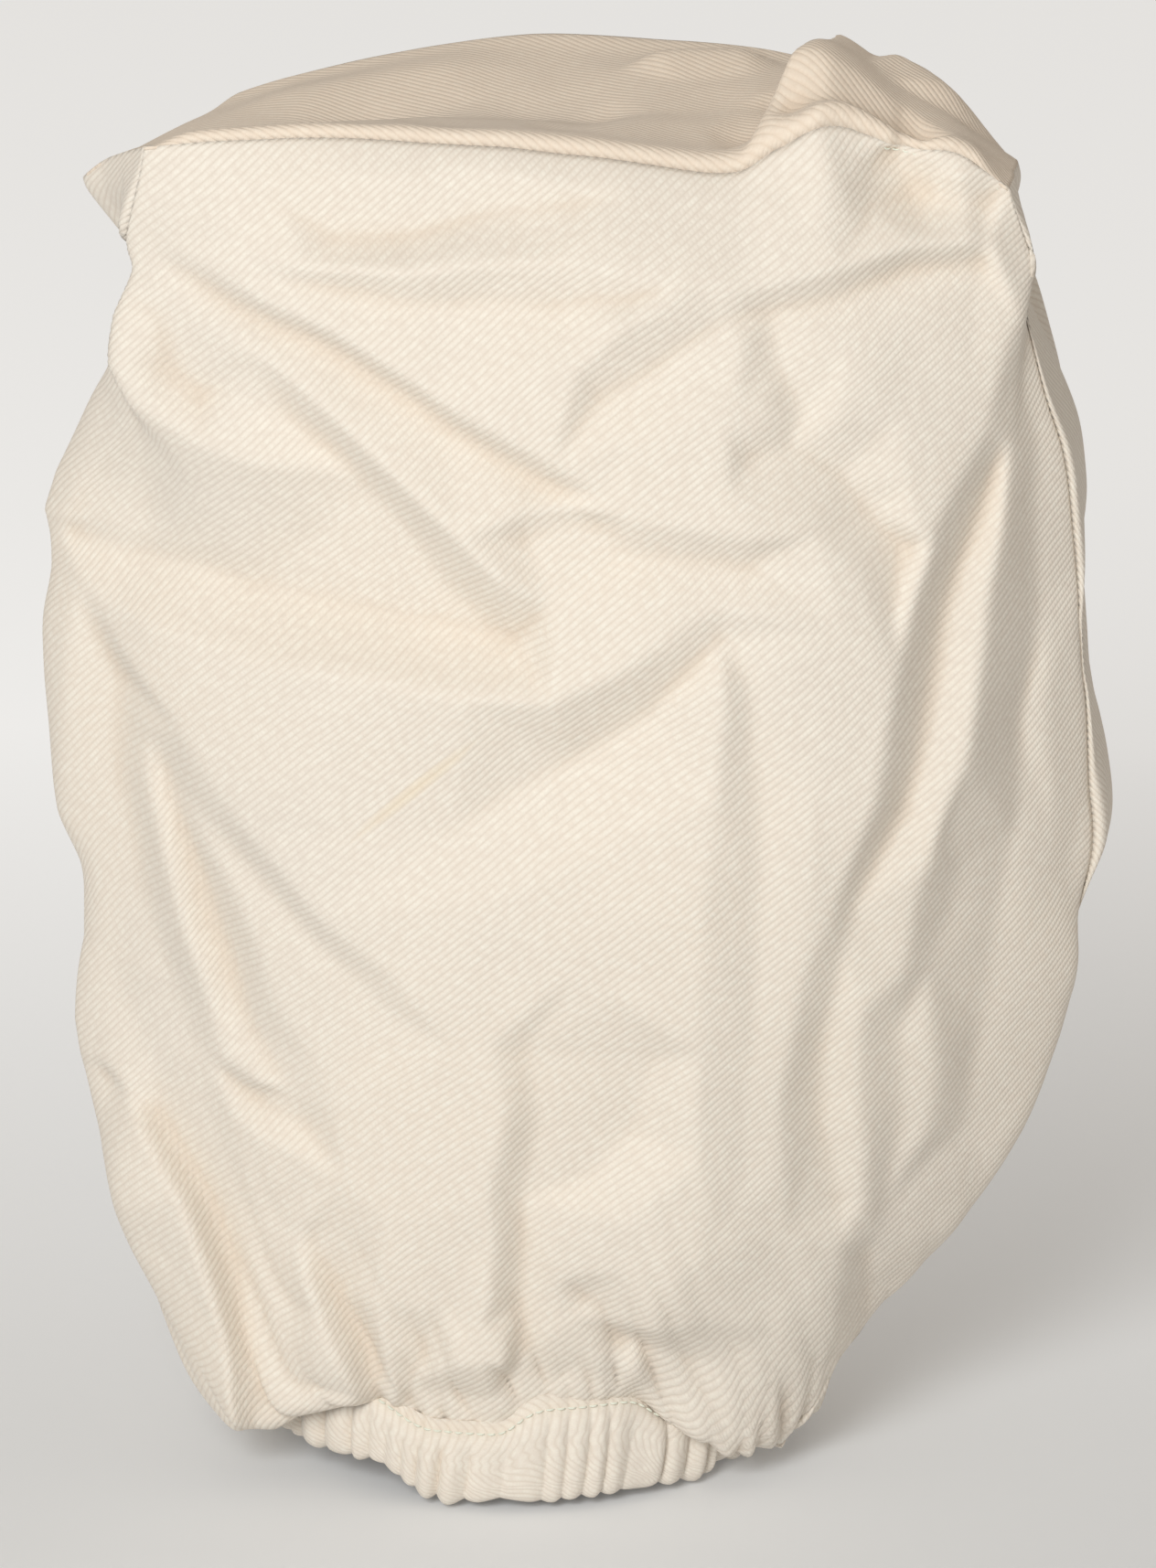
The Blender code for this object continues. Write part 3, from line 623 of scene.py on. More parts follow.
def folded(grid):
    """Every fold, pleat and dent of the hood, as a change of place that any piece may use.

    The change depends on the place alone, so the edges of neighbouring pieces stay together.
    """
    points = grid.reshape(-1, 3)
    x, y, z = points.T
    nape = ramp(-10 * MM, 35 * MM, -y)
    middle = ramp(0, 30 * MM, 60 * MM - np.abs(y))
    out = points + creases(points, nape) + gathers(points) + crumple(points)
    for axes, outward, folds, mask in (
        ((0, 2), (0, -1, 0), NAPE_FOLDS, nape),
        ((0, 2), (0, 1, 0), FACE_FOLDS, ramp(-10 * MM, 35 * MM, y)),
        ((0, 1), (0, 0, 1), CROWN_FOLDS, ramp(372 * MM, 400 * MM, z)),
        ((1, 2), (-1, 0, 0), LEFT_FOLDS, middle * ramp(80 * MM, 118 * MM, -x)),
        ((1, 2), (1, 0, 0), RIGHT_FOLDS, middle * ramp(80 * MM, 118 * MM, x)),
    ):
        out += push(points, axes, outward, folds, mask)
    return out.reshape(grid.shape)


# ---------------------------------------------------------------- materials


class Graph:
    """A short way to write a material's nodes."""

    def __init__(self, name):
        self.material = bpy.data.materials.new(name)
        self.material.use_nodes = True
        self.nodes = self.material.node_tree.nodes
        self.links = self.material.node_tree.links
        self.shader = self.nodes["Principled BSDF"]
        self.solid = self.add("ShaderNodeTexCoord").outputs["Object"]

    def add(self, kind, **settings):
        """A new node with its settings."""
        node = self.nodes.new(kind)
        for key, value in settings.items():
            setattr(node, key, value)
        return node

    def feed(self, socket, value):
        """Link a socket to another one, or set its value."""
        if isinstance(value, bpy.types.NodeSocket):
            self.links.new(value, socket)
        else:
            socket.default_value = value

    def filled(self, kind, values, output=0, **settings):
        """The output of a new node whose inputs, by number or name, get these values."""
        node = self.add(kind, **settings)
        for key, value in values.items():
            self.feed(node.inputs[key], value)
        return node.outputs[output]

    def math(self, operation, *values):
        """The result of a Math node."""
        return self.filled("ShaderNodeMath", dict(enumerate(values)), operation=operation)

    def times(self, first, second):
        """A product."""
        return self.math("MULTIPLY", first, second)

    def plus(self, first, second):
        """A sum."""
        return self.math("ADD", first, second)

    def minus(self, first, second):
        """A difference."""
        return self.math("SUBTRACT", first, second)

    def humps(self, value, pitch):
        """A row of round humps from 0 to 1, each as wide as the pitch."""
        return self.math("ABSOLUTE", self.math("SINE", self.times(value, math.pi / pitch)))

    def turned(self, x, y, angle):
        """How far along and how far across a line at an angle in degrees a place lies."""
        cosine, sine = math.cos(math.radians(angle)), math.sin(math.radians(angle))
        return (self.plus(self.times(x, cosine), self.times(y, sine)),
                self.minus(self.times(y, cosine), self.times(x, sine)))

    def noise(self, scale, detail=2.0, roughness=0.5):
        """Noise from 0 to 1 in the piece's space."""
        return self.filled("ShaderNodeTexNoise", {
            "Vector": self.solid, "Scale": scale, "Detail": detail, "Roughness": roughness})

    def mix(self, share, first, second):
        """A colour between two colours."""
        return self.filled("ShaderNodeMix", {0: share, 6: first, 7: second}, 2, data_type="RGBA")

    def remap(self, value, low, high, to_low=0.0, to_high=1.0):
        """A value moved from one range to another, and clamped."""
        values = dict(enumerate((value, low, high, to_low, to_high)))
        return self.filled("ShaderNodeMapRange", values)

    def axes(self, vector):
        """The x and y of a vector."""
        split = self.add("ShaderNodeSeparateXYZ")
        self.links.new(vector, split.inputs[0])
        return split.outputs["X"], split.outputs["Y"]

    def flat_axes(self):
        """The two directions of the cloth's flat map, in metres."""
        return self.axes(self.add("ShaderNodeUVMap", uv_map="cloth").outputs["UV"])

    def shade(self, **values):
        """Feed the shader's sockets, named with _ for each space."""
        for name, value in values.items():
            self.feed(self.shader.inputs[name.replace("_", " ")], value)

    def raised(self, height, distance, strength):
        """Raise the surface by a height from 0 to 1, and give the material."""
        self.shade(Normal=self.filled("ShaderNodeBump", {
            "Height": height, "Distance": distance, "Strength": strength}))
        return self.material


def twill(name, lean_deg, stained=False, painted_shade=0.0, relief=0.21):
    """Heavy cream cotton twill; the ridges climb at lean_deg across the cloth's flat map."""
    graph = Graph(name)
    x, y = (graph.times(axis, 1000.0) for axis in graph.flat_axes())
    along, across = graph.turned(x, y, lean_deg)
    wale = graph.math("DIVIDE", across, WALE)
    within = graph.minus(graph.math("FRACT", wale), 0.5)
    ridge = graph.minus(1.0, graph.math(
        "POWER", graph.times(graph.math("ABSOLUTE", within), 2.0), 1.7))
    shifted = graph.times(graph.math("FLOOR", wale), 0.37)
    yarn = graph.humps(graph.plus(graph.math("DIVIDE", along, YARN), shifted), 1.0)
    height = graph.times(ridge, graph.plus(0.68, graph.times(yarn, 0.32)))
    height = graph.plus(height, graph.times(graph.noise(2600.0), 0.16))

    tone = graph.remap(graph.noise(9.0, 3.0), 0.3, 0.7)
    warm = graph.mix(tone, (0.800, 0.720, 0.622, 1), (0.768, 0.702, 0.622, 1))
    fleck = graph.remap(graph.noise(420.0), 0.35, 0.75)
    thread = graph.mix(fleck, warm, (0.840, 0.790, 0.700, 1))
    # Painted shade: the low parts between the ridges are mixed towards a dark brown.
    groove_shade = graph.mix(0.80, (0.50, 0.40, 0.29, 1), warm)
    body = graph.mix(graph.remap(height, 0.05, 0.75), groove_shade, thread)
    # Painted shade: the bottoms of tight folds are mixed towards a darker brown, by the share kept on
    # the mesh.
    fold_shade = graph.add("ShaderNodeAttribute", attribute_name="fold_shade").outputs["Fac"]
    colour = graph.mix(graph.times(fold_shade, 0.42), body, (0.62, 0.51, 0.40, 1))
    # Painted shade: a copy for cloth that faces up, away from the lamp, is mixed towards a tan.
    if painted_shade:
        colour = graph.mix(painted_shade, colour, (0.80, 0.60, 0.42, 1))
    if stained:
        colour = graph.mix(stain_share(graph, x, y), colour, (0.78, 0.62, 0.38, 1))
    rough = graph.remap(graph.noise(30.0, 3.0), 0.3, 0.7, 0.84, 0.96)
    graph.shade(Base_Color=colour, Roughness=rough, Specular_IOR_Level=0.25, Sheen_Weight=0.12,
                Sheen_Roughness=0.5)
    return graph.raised(height, relief * MM, 0.9)


def stain_share(graph, x, y):
    """How much of a faint yellowish streak shows, from the flat map in millimetres."""
    (centre_x, centre_y), angle, half_length, half_width = STAIN
    down, side = graph.turned(graph.minus(x, centre_x), graph.minus(y, centre_y), angle)
    reach = graph.plus(graph.math("POWER", graph.math("DIVIDE", down, half_length), 2.0),
                       graph.math("POWER", graph.math("DIVIDE", side, half_width), 2.0))
    return graph.remap(reach, 0.0, 1.0, 0.30, 0.0)


def thread_material():
    """Spun sewing thread with a faint green cast."""
    graph = Graph("sewing_thread")
    tone = graph.noise(700.0)
    graph.shade(Base_Color=graph.mix(tone, (0.70, 0.74, 0.62, 1), (0.86, 0.87, 0.78, 1)),
                Roughness=graph.remap(tone, 0, 1, 0.55, 0.8))
    return graph.raised(graph.noise(3000.0, 1.0), 0.1 * MM, 0.6)


def elastic_material():
    """White woven elastic: fine ribs along the strap."""
    graph = Graph("woven_elastic")
    across, up = graph.flat_axes()
    pick = graph.plus(0.7, graph.times(graph.humps(across, 0.7 * MM), 0.3))
    height = graph.times(graph.humps(up, 1.1 * MM), pick)
    # Painted shade: the low parts between the ribs are darker.
    graph.shade(Base_Color=graph.mix(height, (0.62, 0.60, 0.55, 1), (0.86, 0.85, 0.82, 1)),
                Roughness=graph.remap(height, 0, 1, 0.9, 0.7))
    return graph.raised(height, 0.3 * MM, 0.8)


def tape_material():
    """Plain-woven cotton tape, a little browner than the twill."""
    graph = Graph("cotton_tape")
    height = graph.math("MAXIMUM", *(graph.humps(axis, 0.8 * MM) for axis in graph.flat_axes()))
    tone = graph.remap(graph.noise(60.0, 3.0), 0.3, 0.7)
    cream = graph.mix(tone, (0.76, 0.69, 0.56, 1), (0.82, 0.76, 0.64, 1))
    # Painted shade: the low parts of the weave are mixed towards a dark brown.
    graph.shade(Base_Color=graph.mix(height, (0.58, 0.50, 0.38, 1), cream),
                Roughness=graph.remap(tone, 0, 1, 0.8, 0.95))
    return graph.raised(height, 0.25 * MM, 0.8)


def film_material():
    """Clear flexible film with soft waves, scuffs and a faint grey-green tint."""
    graph = Graph("clear_film")
    scuff = graph.remap(graph.noise(160.0, 4.0, 0.7), 0.55, 0.8)
    graph.shade(Base_Color=graph.mix(scuff, (0.80, 0.84, 0.82, 1), (0.93, 0.94, 0.92, 1)),
                Roughness=graph.remap(scuff, 0, 1, 0.07, 0.35),
                Alpha=graph.remap(scuff, 0, 1, 0.24, 0.42))
    return graph.raised(graph.noise(14.0), 1.5 * MM, 0.5)


def floor_material():
    """Pale paint with a trace of tone, which glows a little more towards the back."""
    graph = Graph("floor_paint")
    paint = (0.77, 0.785, 0.80)
    darker = tuple(c * 0.985 for c in paint)
    glow = graph.remap(graph.axes(graph.solid)[1], -0.1, 0.7, 0.05, 0.42)
    graph.shade(Base_Color=graph.mix(graph.noise(1.5), darker + (1,), paint + (1,)), Roughness=0.9,
                Emission_Color=(1, 1, 1, 1), Emission_Strength=glow)
    return graph.material


# ---------------------------------------------------------------- making pieces


def add_object(name, data, *materials):
    """A new object in the scene."""
    item = bpy.data.objects.new(name, data)
    for material in materials:
        data.materials.append(material)
    bpy.context.scene.collection.objects.link(item)
    return item


def cells(grid):
    """The four corners of each cell of a grid, in turn."""
    return np.stack([grid[:-1, :-1], grid[1:, :-1], grid[1:, 1:], grid[:-1, 1:]], axis=2)


def flat_map(grid, level=None):
    """Where each grid point lay when the cloth was flat: lengths along rows and columns.

    Along the level axis the flat map keeps the place itself, so that the weave stays straight.
    """
    across = travelled(grid[..., :2] if level == 2 else grid, 0)
    middle = len(across) // 2
    across += grid[middle, :, 0] - across[middle]
    up = grid[..., 2] if level == 2 else travelled(grid, 1)
    return np.stack([grid[..., 0] if level == 0 else across, up], axis=2)


def fold_shade_share(grid, reach=3):
    """How much painted shade the cloth gets: 0 on plain and raised cloth, and up to 1 in the bottom
    of tight folds.
    """
    du, dv = np.gradient(grid, axis=0), np.gradient(grid, axis=1)
    normal = np.cross(du, dv)
    normal /= np.linalg.norm(normal, axis=2, keepdims=True) + 1e-12
    around = np.zeros_like(grid)
    for shift in (-reach, reach):
        for axis in (0, 1):
            index = np.clip(np.arange(grid.shape[axis]) + shift, 0, grid.shape[axis] - 1)
            around += np.take(grid, index, axis=axis) / 4
    dip = ((around - grid) * normal).sum(axis=2)
    share = dip / (reach * (np.linalg.norm(du, axis=2) + np.linalg.norm(dv, axis=2)) + 1e-9)
    share[:reach] = share[reach]
    share[-reach:] = share[-reach - 1]
    return share


def cloth_sheet(name, grid, material, clockwise=False, thickness=CLOTH, around=False,
                keep=None, cut=None, level=None):
    """A sheet of cloth over a grid of points, with a flat map and a real thickness.

    The flat map follows cut, the same grid without its folds, or else the grid itself.
    """
    order = np.arange(grid.shape[0] * grid.shape[1]).reshape(grid.shape[:2])
    flat = flat_map(grid if cut is None else cut, level)
    if around:
        order = np.concatenate([order, order[:1]])
        closing = np.linalg.norm(grid[0] - grid[-1], axis=1)
        last = flat[-1] + np.stack([closing, 0 * closing], axis=1)
        flat = np.concatenate([flat, last[None]])
    quads = cells(order).reshape(-1, 4)
    corners = cells(flat).reshape(-1, 4, 2)
    if clockwise:
        quads, corners = quads[:, ::-1], corners[:, ::-1]
    points = grid.reshape(-1, 3)
    if keep is not None:
        wanted = keep(points[quads].mean(axis=1))
        quads, corners = quads[wanted], corners[wanted]
    # the share of painted shade for the bottoms of tight folds, kept on each point
    fold_shade = fold_shade_share(grid) * (-1 if clockwise else 1)
    fold_shade = ramp(0.02, 0.16, fold_shade).reshape(-1)
    used = np.unique(quads)
    renumber = np.zeros(len(points), int)
    renumber[used] = np.arange(len(used))
    mesh = bpy.data.meshes.new(name)
    mesh.from_pydata(points[used].tolist(), [], renumber[quads].tolist())
    layer = mesh.uv_layers.new(name="cloth")
    layer.data.foreach_set("uv", corners.reshape(-1).astype(np.float32))
    fold_shade_layer = mesh.attributes.new("fold_shade", "FLOAT", "POINT")
    fold_shade_layer.data.foreach_set("value", fold_shade[used].astype(np.float32))
    mesh.shade_smooth()
    piece = add_object(name, mesh, material)
    body = piece.modifiers.new("thickness", "SOLIDIFY")
    body.thickness = thickness
    body.offset = -1
    return piece


def stitch_loops(bm, points, outward, gone, middle, length, radius):
    """The rings of one stitch, which dips into the cloth at both ends."""
    loops = []
    for share in np.linspace(-1, 1, 5):
        at = middle + share * length / 2
        centre = part_way(at, gone, points)
        ahead = part_way(at + 0.2 * MM, gone, points) - centre
        ahead /= np.linalg.norm(ahead) + 1e-12
        up = part_way(at, gone, outward)
        up -= ahead * (up @ ahead)
        up /= np.linalg.norm(up) + 1e-12
        across = np.cross(ahead, up)
        thick = radius * (1 - 0.55 * share**4)
        centre += up * radius * (1.0 - 1.5 * share**2)
        turns = np.arange(STITCH_SIDES) * 2 * math.pi / STITCH_SIDES
        loops.append([bm.verts.new(centre + thick * (math.cos(turn) * across + math.sin(turn) * up))
                      for turn in turns])
    return loops


def make_stitches(name, points, outward, material, length=2.3, space=3.0, radius=0.28):
    """A row of stitches, each a short rounded thread; sizes are in millimetres."""
    gone = travelled(points)
    bm = bmesh.new()
    for k in range(int(gone[-1] / (space * MM))):
        loops = stitch_loops(bm, points, outward, gone, (k + 0.5) * space * MM, length * MM,
                             radius * MM)
        for near, far in zip(loops, loops[1:]):
            for side in range(STITCH_SIDES):
                after = (side + 1) % STITCH_SIDES
                bm.faces.new([near[side], near[after], far[after], far[side]])
        bm.faces.new(loops[0][::-1])
        bm.faces.new(loops[-1])
    bmesh.ops.recalc_face_normals(bm, faces=bm.faces)
    mesh = bpy.data.meshes.new(name)
    bm.to_mesh(mesh)
    bm.free()
    mesh.shade_smooth()
    piece = add_object(name, mesh, material)
    return piece


# ---------------------------------------------------------------- panels


def make_lines():
    """The seams at full resolution, in metres, with the neck's end of each on the stitch line."""
    angle = NECK_SEAM_ANGLE
    lines = {}
    for name, foot_angle, points, steps in (
        ("nape_left", math.pi + angle, NAPE_LEFT_SEAM, UP),
        ("nape_right", -angle, NAPE_RIGHT_SEAM, UP),
        ("face_left", math.pi - angle, FACE_LEFT_SEAM, UP),
        ("face_right", angle, FACE_RIGHT_SEAM, UP),
        ("nape_top", None, NAPE_TOP_SEAM, ACROSS), ("face_top", None, FACE_TOP_SEAM, ACROSS),
        ("join_left", None, LEFT_JOIN, DEEP), ("join_right", None, RIGHT_JOIN, DEEP),
    ):
        foot = [] if foot_angle is None else [neck_line(np.array(foot_angle))]
        lines[name] = smooth_line(foot + [np.array(p) * MM for p in points], steps)
    return lines


def shouldered(grid):
    """Let the nape panel swell past its side seams, which then lie behind its outline."""
    u = np.linspace(0, 1, grid.shape[0])[:, None]
    z = grid[..., 2] / MM
    moved = grid.copy()
    left = early_peak(u / 0.07)
    levels, widths = zip(*LEFT_SWELL)
    moved[..., 0] -= np.interp(z, levels, widths) * MM * left
    moved[..., 1] += 12 * MM * left * ramp(80, 140, z) * (1 - ramp(300, 360, z))
    right = early_peak((1 - u) / 0.06) * ramp(20, 60, z) * (1 - ramp(150, 200, z))
    moved[..., 0] += 15 * MM * right
    moved[..., 1] += 8 * MM * right
    return moved


def smooth_skin():
    """The five sewn pieces before any fold: grid and whether it runs clockwise seen outside."""
    lines = make_lines()

    def panel(start, end, steps, top, left, right):
        foot = neck_line(np.linspace(start, end, steps + 1))
        return coons_patch(foot, lines[top], lines[left], lines[right])

    turn, angle = math.pi, NECK_SEAM_ANGLE
    nape = panel(turn + angle, 2 * turn - angle, ACROSS, "nape_top", "nape_left", "nape_right")
    face = panel(turn - angle, angle, ACROSS, "face_top", "face_left", "face_right")
    left = panel(turn + angle, turn - angle, DEEP, "join_left", "nape_left", "face_left")
    right = panel(-angle, angle, DEEP, "join_right", "nape_right", "face_right")
    crown = coons_patch(lines["nape_top"], lines["face_top"], lines["join_left"],
                        lines["join_right"])
    return {
        "nape_panel": (shouldered(swollen(nape, (0, -1, 0), 54 * MM)), False),
        "face_panel": (bulged(face, (0, 1, 0), 19 * MM), True),
        "left_gusset": (bulged(left, (-1, 0, 0), -7 * MM), True),
        "right_gusset": (bulged(right, (1, 0, 0), 0.5 * MM), False),
        "crown_gusset": (bulged(crown, (0, 0, 1), 5 * MM), False),
    }


def rolled_edges(grid, edges):
    """Raise the cloth just beside its seams, where the turned-in edges lie under it."""
    moved = grid.copy()
    for axis, from_end, direction, height, width in edges:
        way = -1 if from_end else 1
        gone = travelled(np.moveaxis(grid, axis, 0)[::way])
        share = np.linspace(0, 1, gone.shape[1])
        inner = ramp(0, 0.06, share) * ramp(0, 0.06, 1 - share)
        rise = height * MM * inner * early_peak(gone / (width * MM))
        moved += np.moveaxis(rise[::way, :, None] * np.array(direction), 0, axis)
    return moved


def make_panels(cloths):
    """The five sewn pieces, folded, with their seams rolled."""
    smooth = smooth_skin()
    skin = {name: folded(grid) for name, (grid, _) in smooth.items()}
    grids, pieces = {}, {}
    for name, (cut, clockwise) in smooth.items():
        grids[name] = rolled_edges(skin[name], ROLLED_EDGES[name])
        keep = outside_window if name == "face_panel" else None
        pieces[name] = cloth_sheet(name + "_cloth", grids[name], cloths[name], clockwise,
                                   keep=keep, cut=cut, level=0 if name == "crown_gusset" else 2)
        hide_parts(name)
    return pieces, grids, skin


# ---------------------------------------------------------------- window


def outside_window(centres):
    """True for the face panel's faces that stay when the window is cut."""
    dx = np.abs(centres[:, 0] - WINDOW_X) - (WINDOW_HALF_X - WINDOW_RADIUS)
    dz = np.abs(centres[:, 2] - WINDOW_Z) - (WINDOW_HALF_Z - WINDOW_RADIUS)
    corner = np.hypot(np.maximum(dx, 0), np.maximum(dz, 0))
    return corner + np.minimum(np.maximum(dx, dz), 0) - WINDOW_RADIUS > 3.5 * MM


def window_ring(margin, steps):
    """Points (x, z) at equal steps round the window, moved out by margin."""
    radius = WINDOW_RADIUS + margin
    angles = np.linspace(0, math.pi / 2, 13)
    right_top = np.stack([WINDOW_HALF_X - WINDOW_RADIUS + radius * np.cos(angles),
                          WINDOW_HALF_Z - WINDOW_RADIUS + radius * np.sin(angles)], axis=1)
    left_top = right_top[::-1] * (-1, 1)
    ring = np.concatenate([right_top, left_top, -right_top, -left_top, right_top[:1]])
    gone = travelled(ring)
    return part_way(np.linspace(0, gone[-1], steps, endpoint=False), gone, ring) + (
        WINDOW_X, WINDOW_Z)


def surface_finder(grid):
    """A function that gives the outermost y of a grid's surface at (x, z)."""
    order = np.arange(grid.shape[0] * grid.shape[1]).reshape(grid.shape[:2])
    tree = BVHTree.FromPolygons([Vector(p) for p in grid.reshape(-1, 3)],
                                cells(order).reshape(-1, 4).tolist())

    def outer_y(x, z):
        return tree.ray_cast(Vector((x, 1.0, z)), Vector((0, -1, 0)))[0].y

    return outer_y


def make_window(grids, materials):
    """Clear film behind the face panel, tape over its edge and the tape's stitching."""
    outer_y = surface_finder(grids["face_panel"])
    across, up = 56, 28
    film = np.zeros((across + 1, up + 1, 3))
    for r, v in enumerate(np.linspace(-1, 1, up + 1)):
        z = v * (WINDOW_HALF_Z + WINDOW_MARGIN)
        beyond = max(abs(z) - (WINDOW_HALF_Z - WINDOW_RADIUS), 0)
        corner = math.sqrt(max((WINDOW_RADIUS + WINDOW_MARGIN) ** 2 - beyond**2, 0))
        for c, u in enumerate(np.linspace(-1, 1, across + 1)):
            x = WINDOW_X + u * (WINDOW_HALF_X - WINDOW_RADIUS + corner)
            film[c, r] = (x, outer_y(x, WINDOW_Z + z) - CLOTH - 0.7 * MM, WINDOW_Z + z)
    sheet = cloth_sheet("window_film_sheet", film, materials["film"], True, 0.4 * MM)
    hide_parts("window_film")

    steps = 220

    def ring_over(margin, lift):
        ring = window_ring(margin * MM, steps)
        return np.array([(x, outer_y(x, z) + lift * MM, z) for x, z in ring])

    profile = [(0.2, 0.2), (0.6, 1.0), (2.5, 1.25), (7.5, 1.25), (9.4, 1.0), (9.9, 0.2)]
    tape = np.stack([ring_over(margin, lift) for margin, lift in profile], axis=1)
    band = cloth_sheet("window_binding_tape", tape, materials["tape"], True, 0.5 * MM, around=True)
    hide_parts("window_binding")

    outward = np.tile([0.0, 1.0, 0.0], (steps + 1, 1))
    stitches = []
    for word, margin in (("inner", 2.6), ("outer", 7.4)):
        row = ring_over(margin, 1.2)
        stitches.append(make_stitches("window_stitches_" + word, np.concatenate([row, row[:1]]),
                                      outward, materials["thread"]))
    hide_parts("window_stitching")
    for piece in [sheet, band] + stitches:
        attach(piece, "hood")
    return sheet, band, stitches


# ---------------------------------------------------------------- hem and threads


def hem_grid(angles):
    """The folded and gathered casing: down its outer wall, round the bottom and up inside."""
    out, down = smooth_line(HEM_PROFILE, 44).T
    depth = np.clip(-down / HEM_DEPTH, 0, 1)
    lift = np.broadcast_to(down, (len(angles), len(down)))
    swing = np.broadcast_to(angles[:, None], lift.shape)
    pleat = gather_wave(swing, -lift * 0.35, GATHER, 21)
    side = np.where(out > -1.4, 1.0, -0.8)
    size = 3.6 * np.sin(np.pi * np.clip(0.06 + 0.75 * depth, 0, 1)) ** 0.8 * side
    radial = out[None] + size[None] * (pleat - 0.3)
    edge = 1.4 * (1 + value_noise(on_circle(swing), 0.16, 71)) + 2.2 * (1 - np.clip(pleat, 0, 1))
    taller = 1 + front_rise(angles)[:, None] / (HEM_DEPTH * MM)
    height = down[None] * taller + depth[None] ** 3 * edge
    grid = neck_line(angles)[:, None] + neck_outward(angles)[:, None] * (radial[..., None] * MM)
    grid[..., 2] = np.maximum(grid[..., 2] + height * MM, 0.3 * MM)
    return grid


def make_hem(materials):
    """The gathered hem with its elastic and stitch line."""
    angles = np.linspace(0, 2 * math.pi, 900, endpoint=False)
    hem = cloth_sheet("hem_casing_cloth", hem_grid(angles), materials["hem"], True, 0.8 * MM,
                      around=True)
    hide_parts("hem_casing_nape", "hem_casing_chin")

    turns = np.linspace(0, 2 * math.pi, 240, endpoint=False)
    ripple = -0.9 + 0.25 * np.sin(turns * 90)
    column = neck_line(turns) + neck_outward(turns) * (ripple * MM)[:, None]
    strap = np.repeat(column[:, None], 12, axis=1)
    strap[..., 2] += np.linspace(-3.5, -20.5, 12) * MM
    elastic = cloth_sheet("neck_elastic_strap", strap, materials["elastic"], True, 0.9 * MM,
                          around=True)
    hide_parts("neck_elastic_nape", "neck_elastic_chin")

    dense = np.linspace(0, 2 * math.pi, 700)
    wave = gather_wave(dense, 0 * dense, GATHER, 21)
    out = neck_outward(dense)
    row = neck_line(dense) + out * ((0.5 + 0.3 * wave) * MM)[:, None]
    stitches = make_stitches("hem_stitches", row, out, materials["thread"], 2.6, 3.3, 0.34)
    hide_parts("hem_stitching_nape", "hem_stitching_chin")
    return hem, elastic, stitches


def make_seam_threads(skin, thread):
    """Stitches of the long seams and the gusset joins, on the inside of the corners."""
    runs = {}
    for side in ("nape", "face"):
        grid = skin[side + "_panel"]
        runs[side + "_seam"] = np.concatenate([grid[0, 3:], grid[1:-1, -1], grid[-1, :2:-1]])
    runs["left_gusset_join"] = skin["crown_gusset"][0, 2:-2]
    runs["right_gusset_join"] = skin["crown_gusset"][-1, 2:-2]
    centre = np.array([-5 * MM, 0, 210 * MM])
    pieces = []
    for name, line in runs.items():
        inward = (centre - line) * (1, 1, 0.4)
        inward /= np.linalg.norm(inward, axis=1, keepdims=True)
        piece = make_stitches(name + "_stitches", line + 2.2 * MM * inward, inward, thread)
        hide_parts(name + "_thread")
        pieces.append(piece)
    return pieces


def make_tack(thread):
    """Zigzag stitches that close the elastic's loop."""
    low, high = (corner[2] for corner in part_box("elastic_join_tack"))
    points = neck_line(math.pi + np.radians(16 + 0.7 * np.arange(19)), inset=2.0 * MM)
    points[:, 2] = low + HEM_TILT * 0.7 + (high - low) * (np.arange(19) % 2)
    inward = np.tile([0.94, 0.34, 0.0], (len(points), 1))
    piece = make_stitches("elastic_tack_stitches", points, inward, thread, 2.4, 2.5, 0.22)
    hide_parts("elastic_join_tack")
    return piece


# ---------------------------------------------------------------- the whole hood


def follow_neck(piece):
    """Bake a piece's place into its mesh."""
    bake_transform(piece)


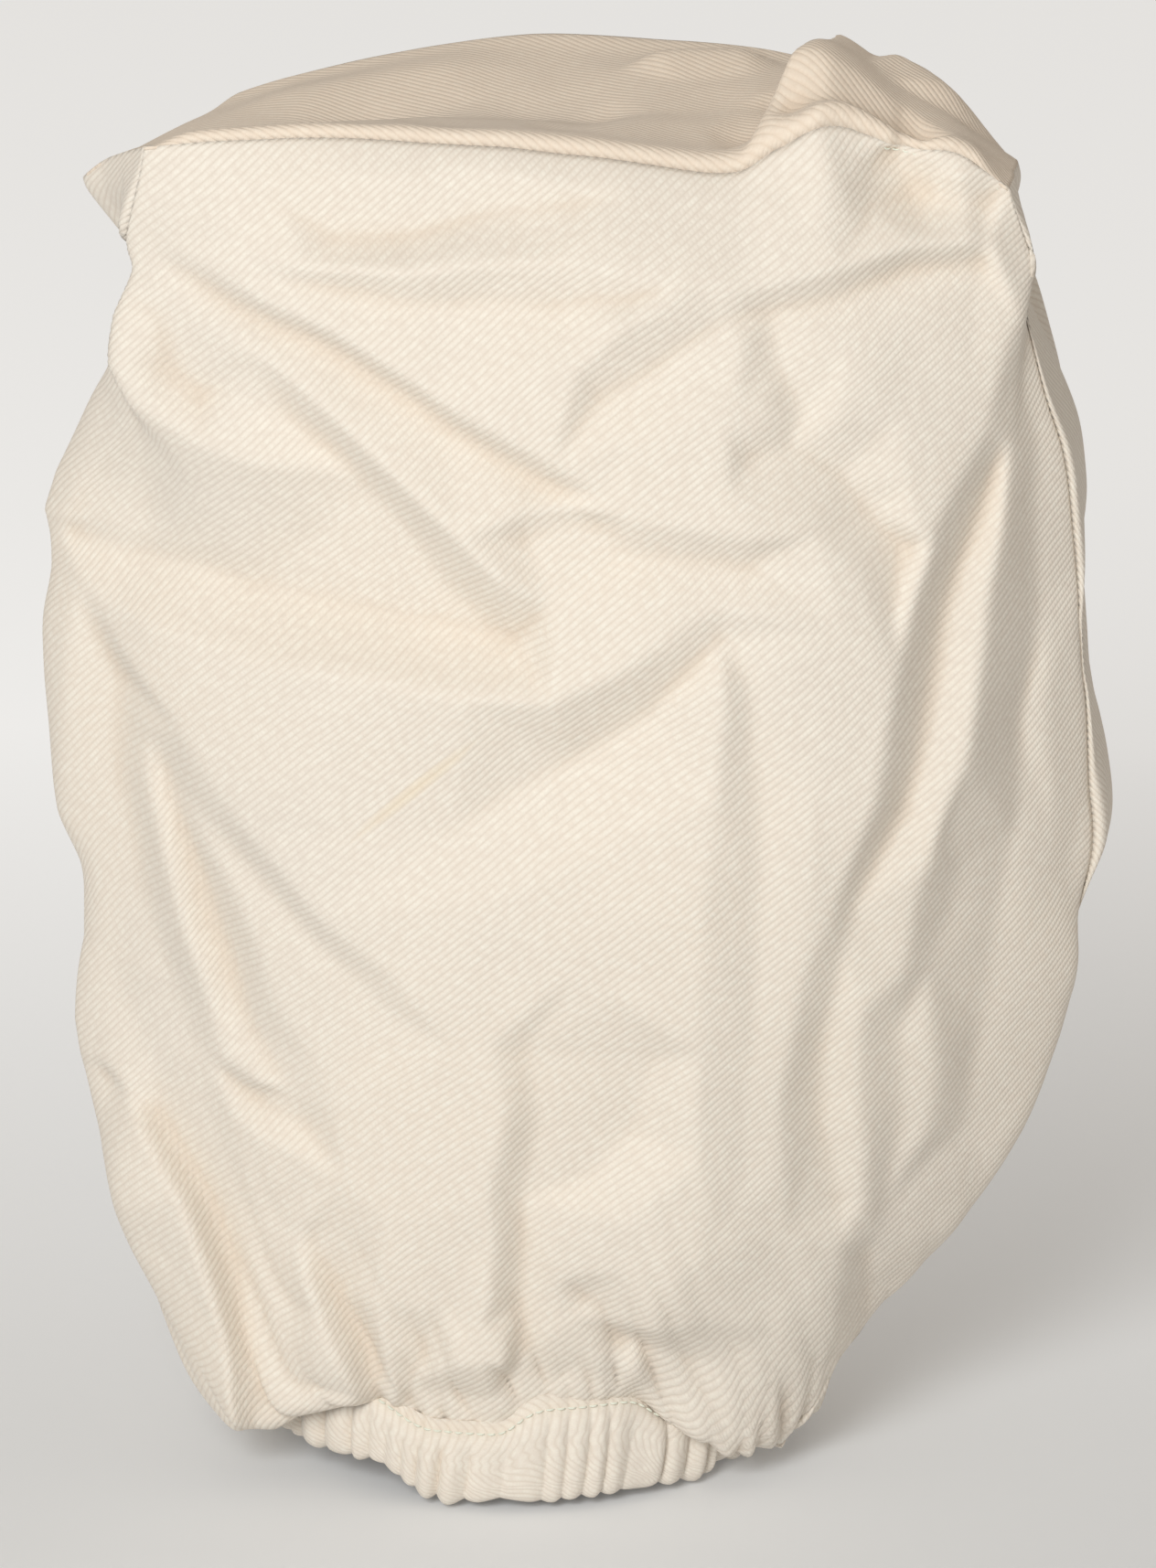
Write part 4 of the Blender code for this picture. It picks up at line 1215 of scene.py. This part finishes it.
def make_hood():
    """Every piece of the hood, with the window's pieces on the hood's body."""
    materials = {
        "thread": thread_material(),
        "elastic": elastic_material(),
        "tape": tape_material(),
        "film": film_material(),
        "hem": twill("twill_hem", 40, relief=0.12),
    }
    cloths = {
        "nape_panel": twill("twill_nape", 40, stained=True),
        "face_panel": twill("twill_face", -35),
        "left_gusset": twill("twill_left", -38),
        "right_gusset": twill("twill_right", -38),
        # the crown's copy of the twill gets a tan as painted shade
        "crown_gusset": twill("twill_crown_shaded", -32, painted_shade=0.32),
    }
    panels, grids, skin = make_panels(cloths)
    film, band, window_stitches = make_window(grids, materials)
    hem, elastic, hem_stitches = make_hem(materials)
    threads = make_seam_threads(skin, materials["thread"])
    tack = make_tack(materials["thread"])
    for piece in list(panels.values()) + [hem, elastic, hem_stitches, tack] + threads:
        follow_neck(piece)


# ---------------------------------------------------------------- studio


def aimed(name, data, place, target):
    """A lamp or camera at a place, turned towards a target."""
    item = add_object(name, data)
    item.location = place
    item.rotation_euler = (Vector(target) - Vector(place)).to_track_quat("-Z", "Y").to_euler()
    return item


def make_studio():
    """Pale floor, soft daylight, a broad frontal lamp and the camera."""
    mesh = bpy.data.meshes.new("floor")
    size = 6.0
    corners = [(-size, -size, 0), (size, -size, 0), (size, size, 0), (-size, size, 0)]
    mesh.from_pydata(corners, [], [(0, 1, 2, 3)])
    add_object("floor", mesh, floor_material())

    world = bpy.data.worlds.new("studio")
    world.use_nodes = True
    sky = world.node_tree.nodes["Background"]
    sky.inputs["Color"].default_value = (1.0, 0.925, 0.83, 1)
    sky.inputs["Strength"].default_value = 0.40
    bpy.context.scene.world = world
    lamp = bpy.data.lights.new("front_lamp", "AREA")
    lamp.shape = "SQUARE"
    lamp.size = 0.9
    lamp.energy = 40
    lamp.color = (0.99, 1.0, 1.0)
    aimed("front_lamp", lamp, (-0.54, -2.17, 1.36), (0, 0, 0.22))
    bpy.context.scene.view_settings.view_transform = "Standard"

    azimuth, elevation, distance = math.radians(3), math.radians(18), 2.6
    framed_height = 0.470
    target = Vector((0.001, 0, 0.208))
    back = Vector((math.sin(azimuth) * math.cos(elevation),
                   -math.cos(azimuth) * math.cos(elevation), math.sin(elevation)))
    camera = bpy.data.cameras.new("camera")
    camera.sensor_width = 36
    camera.lens = distance / framed_height * camera.sensor_width
    camera.clip_end = 50
    bpy.context.scene.camera = aimed("camera", camera, target + back * distance, target)


make_hood()
make_studio()
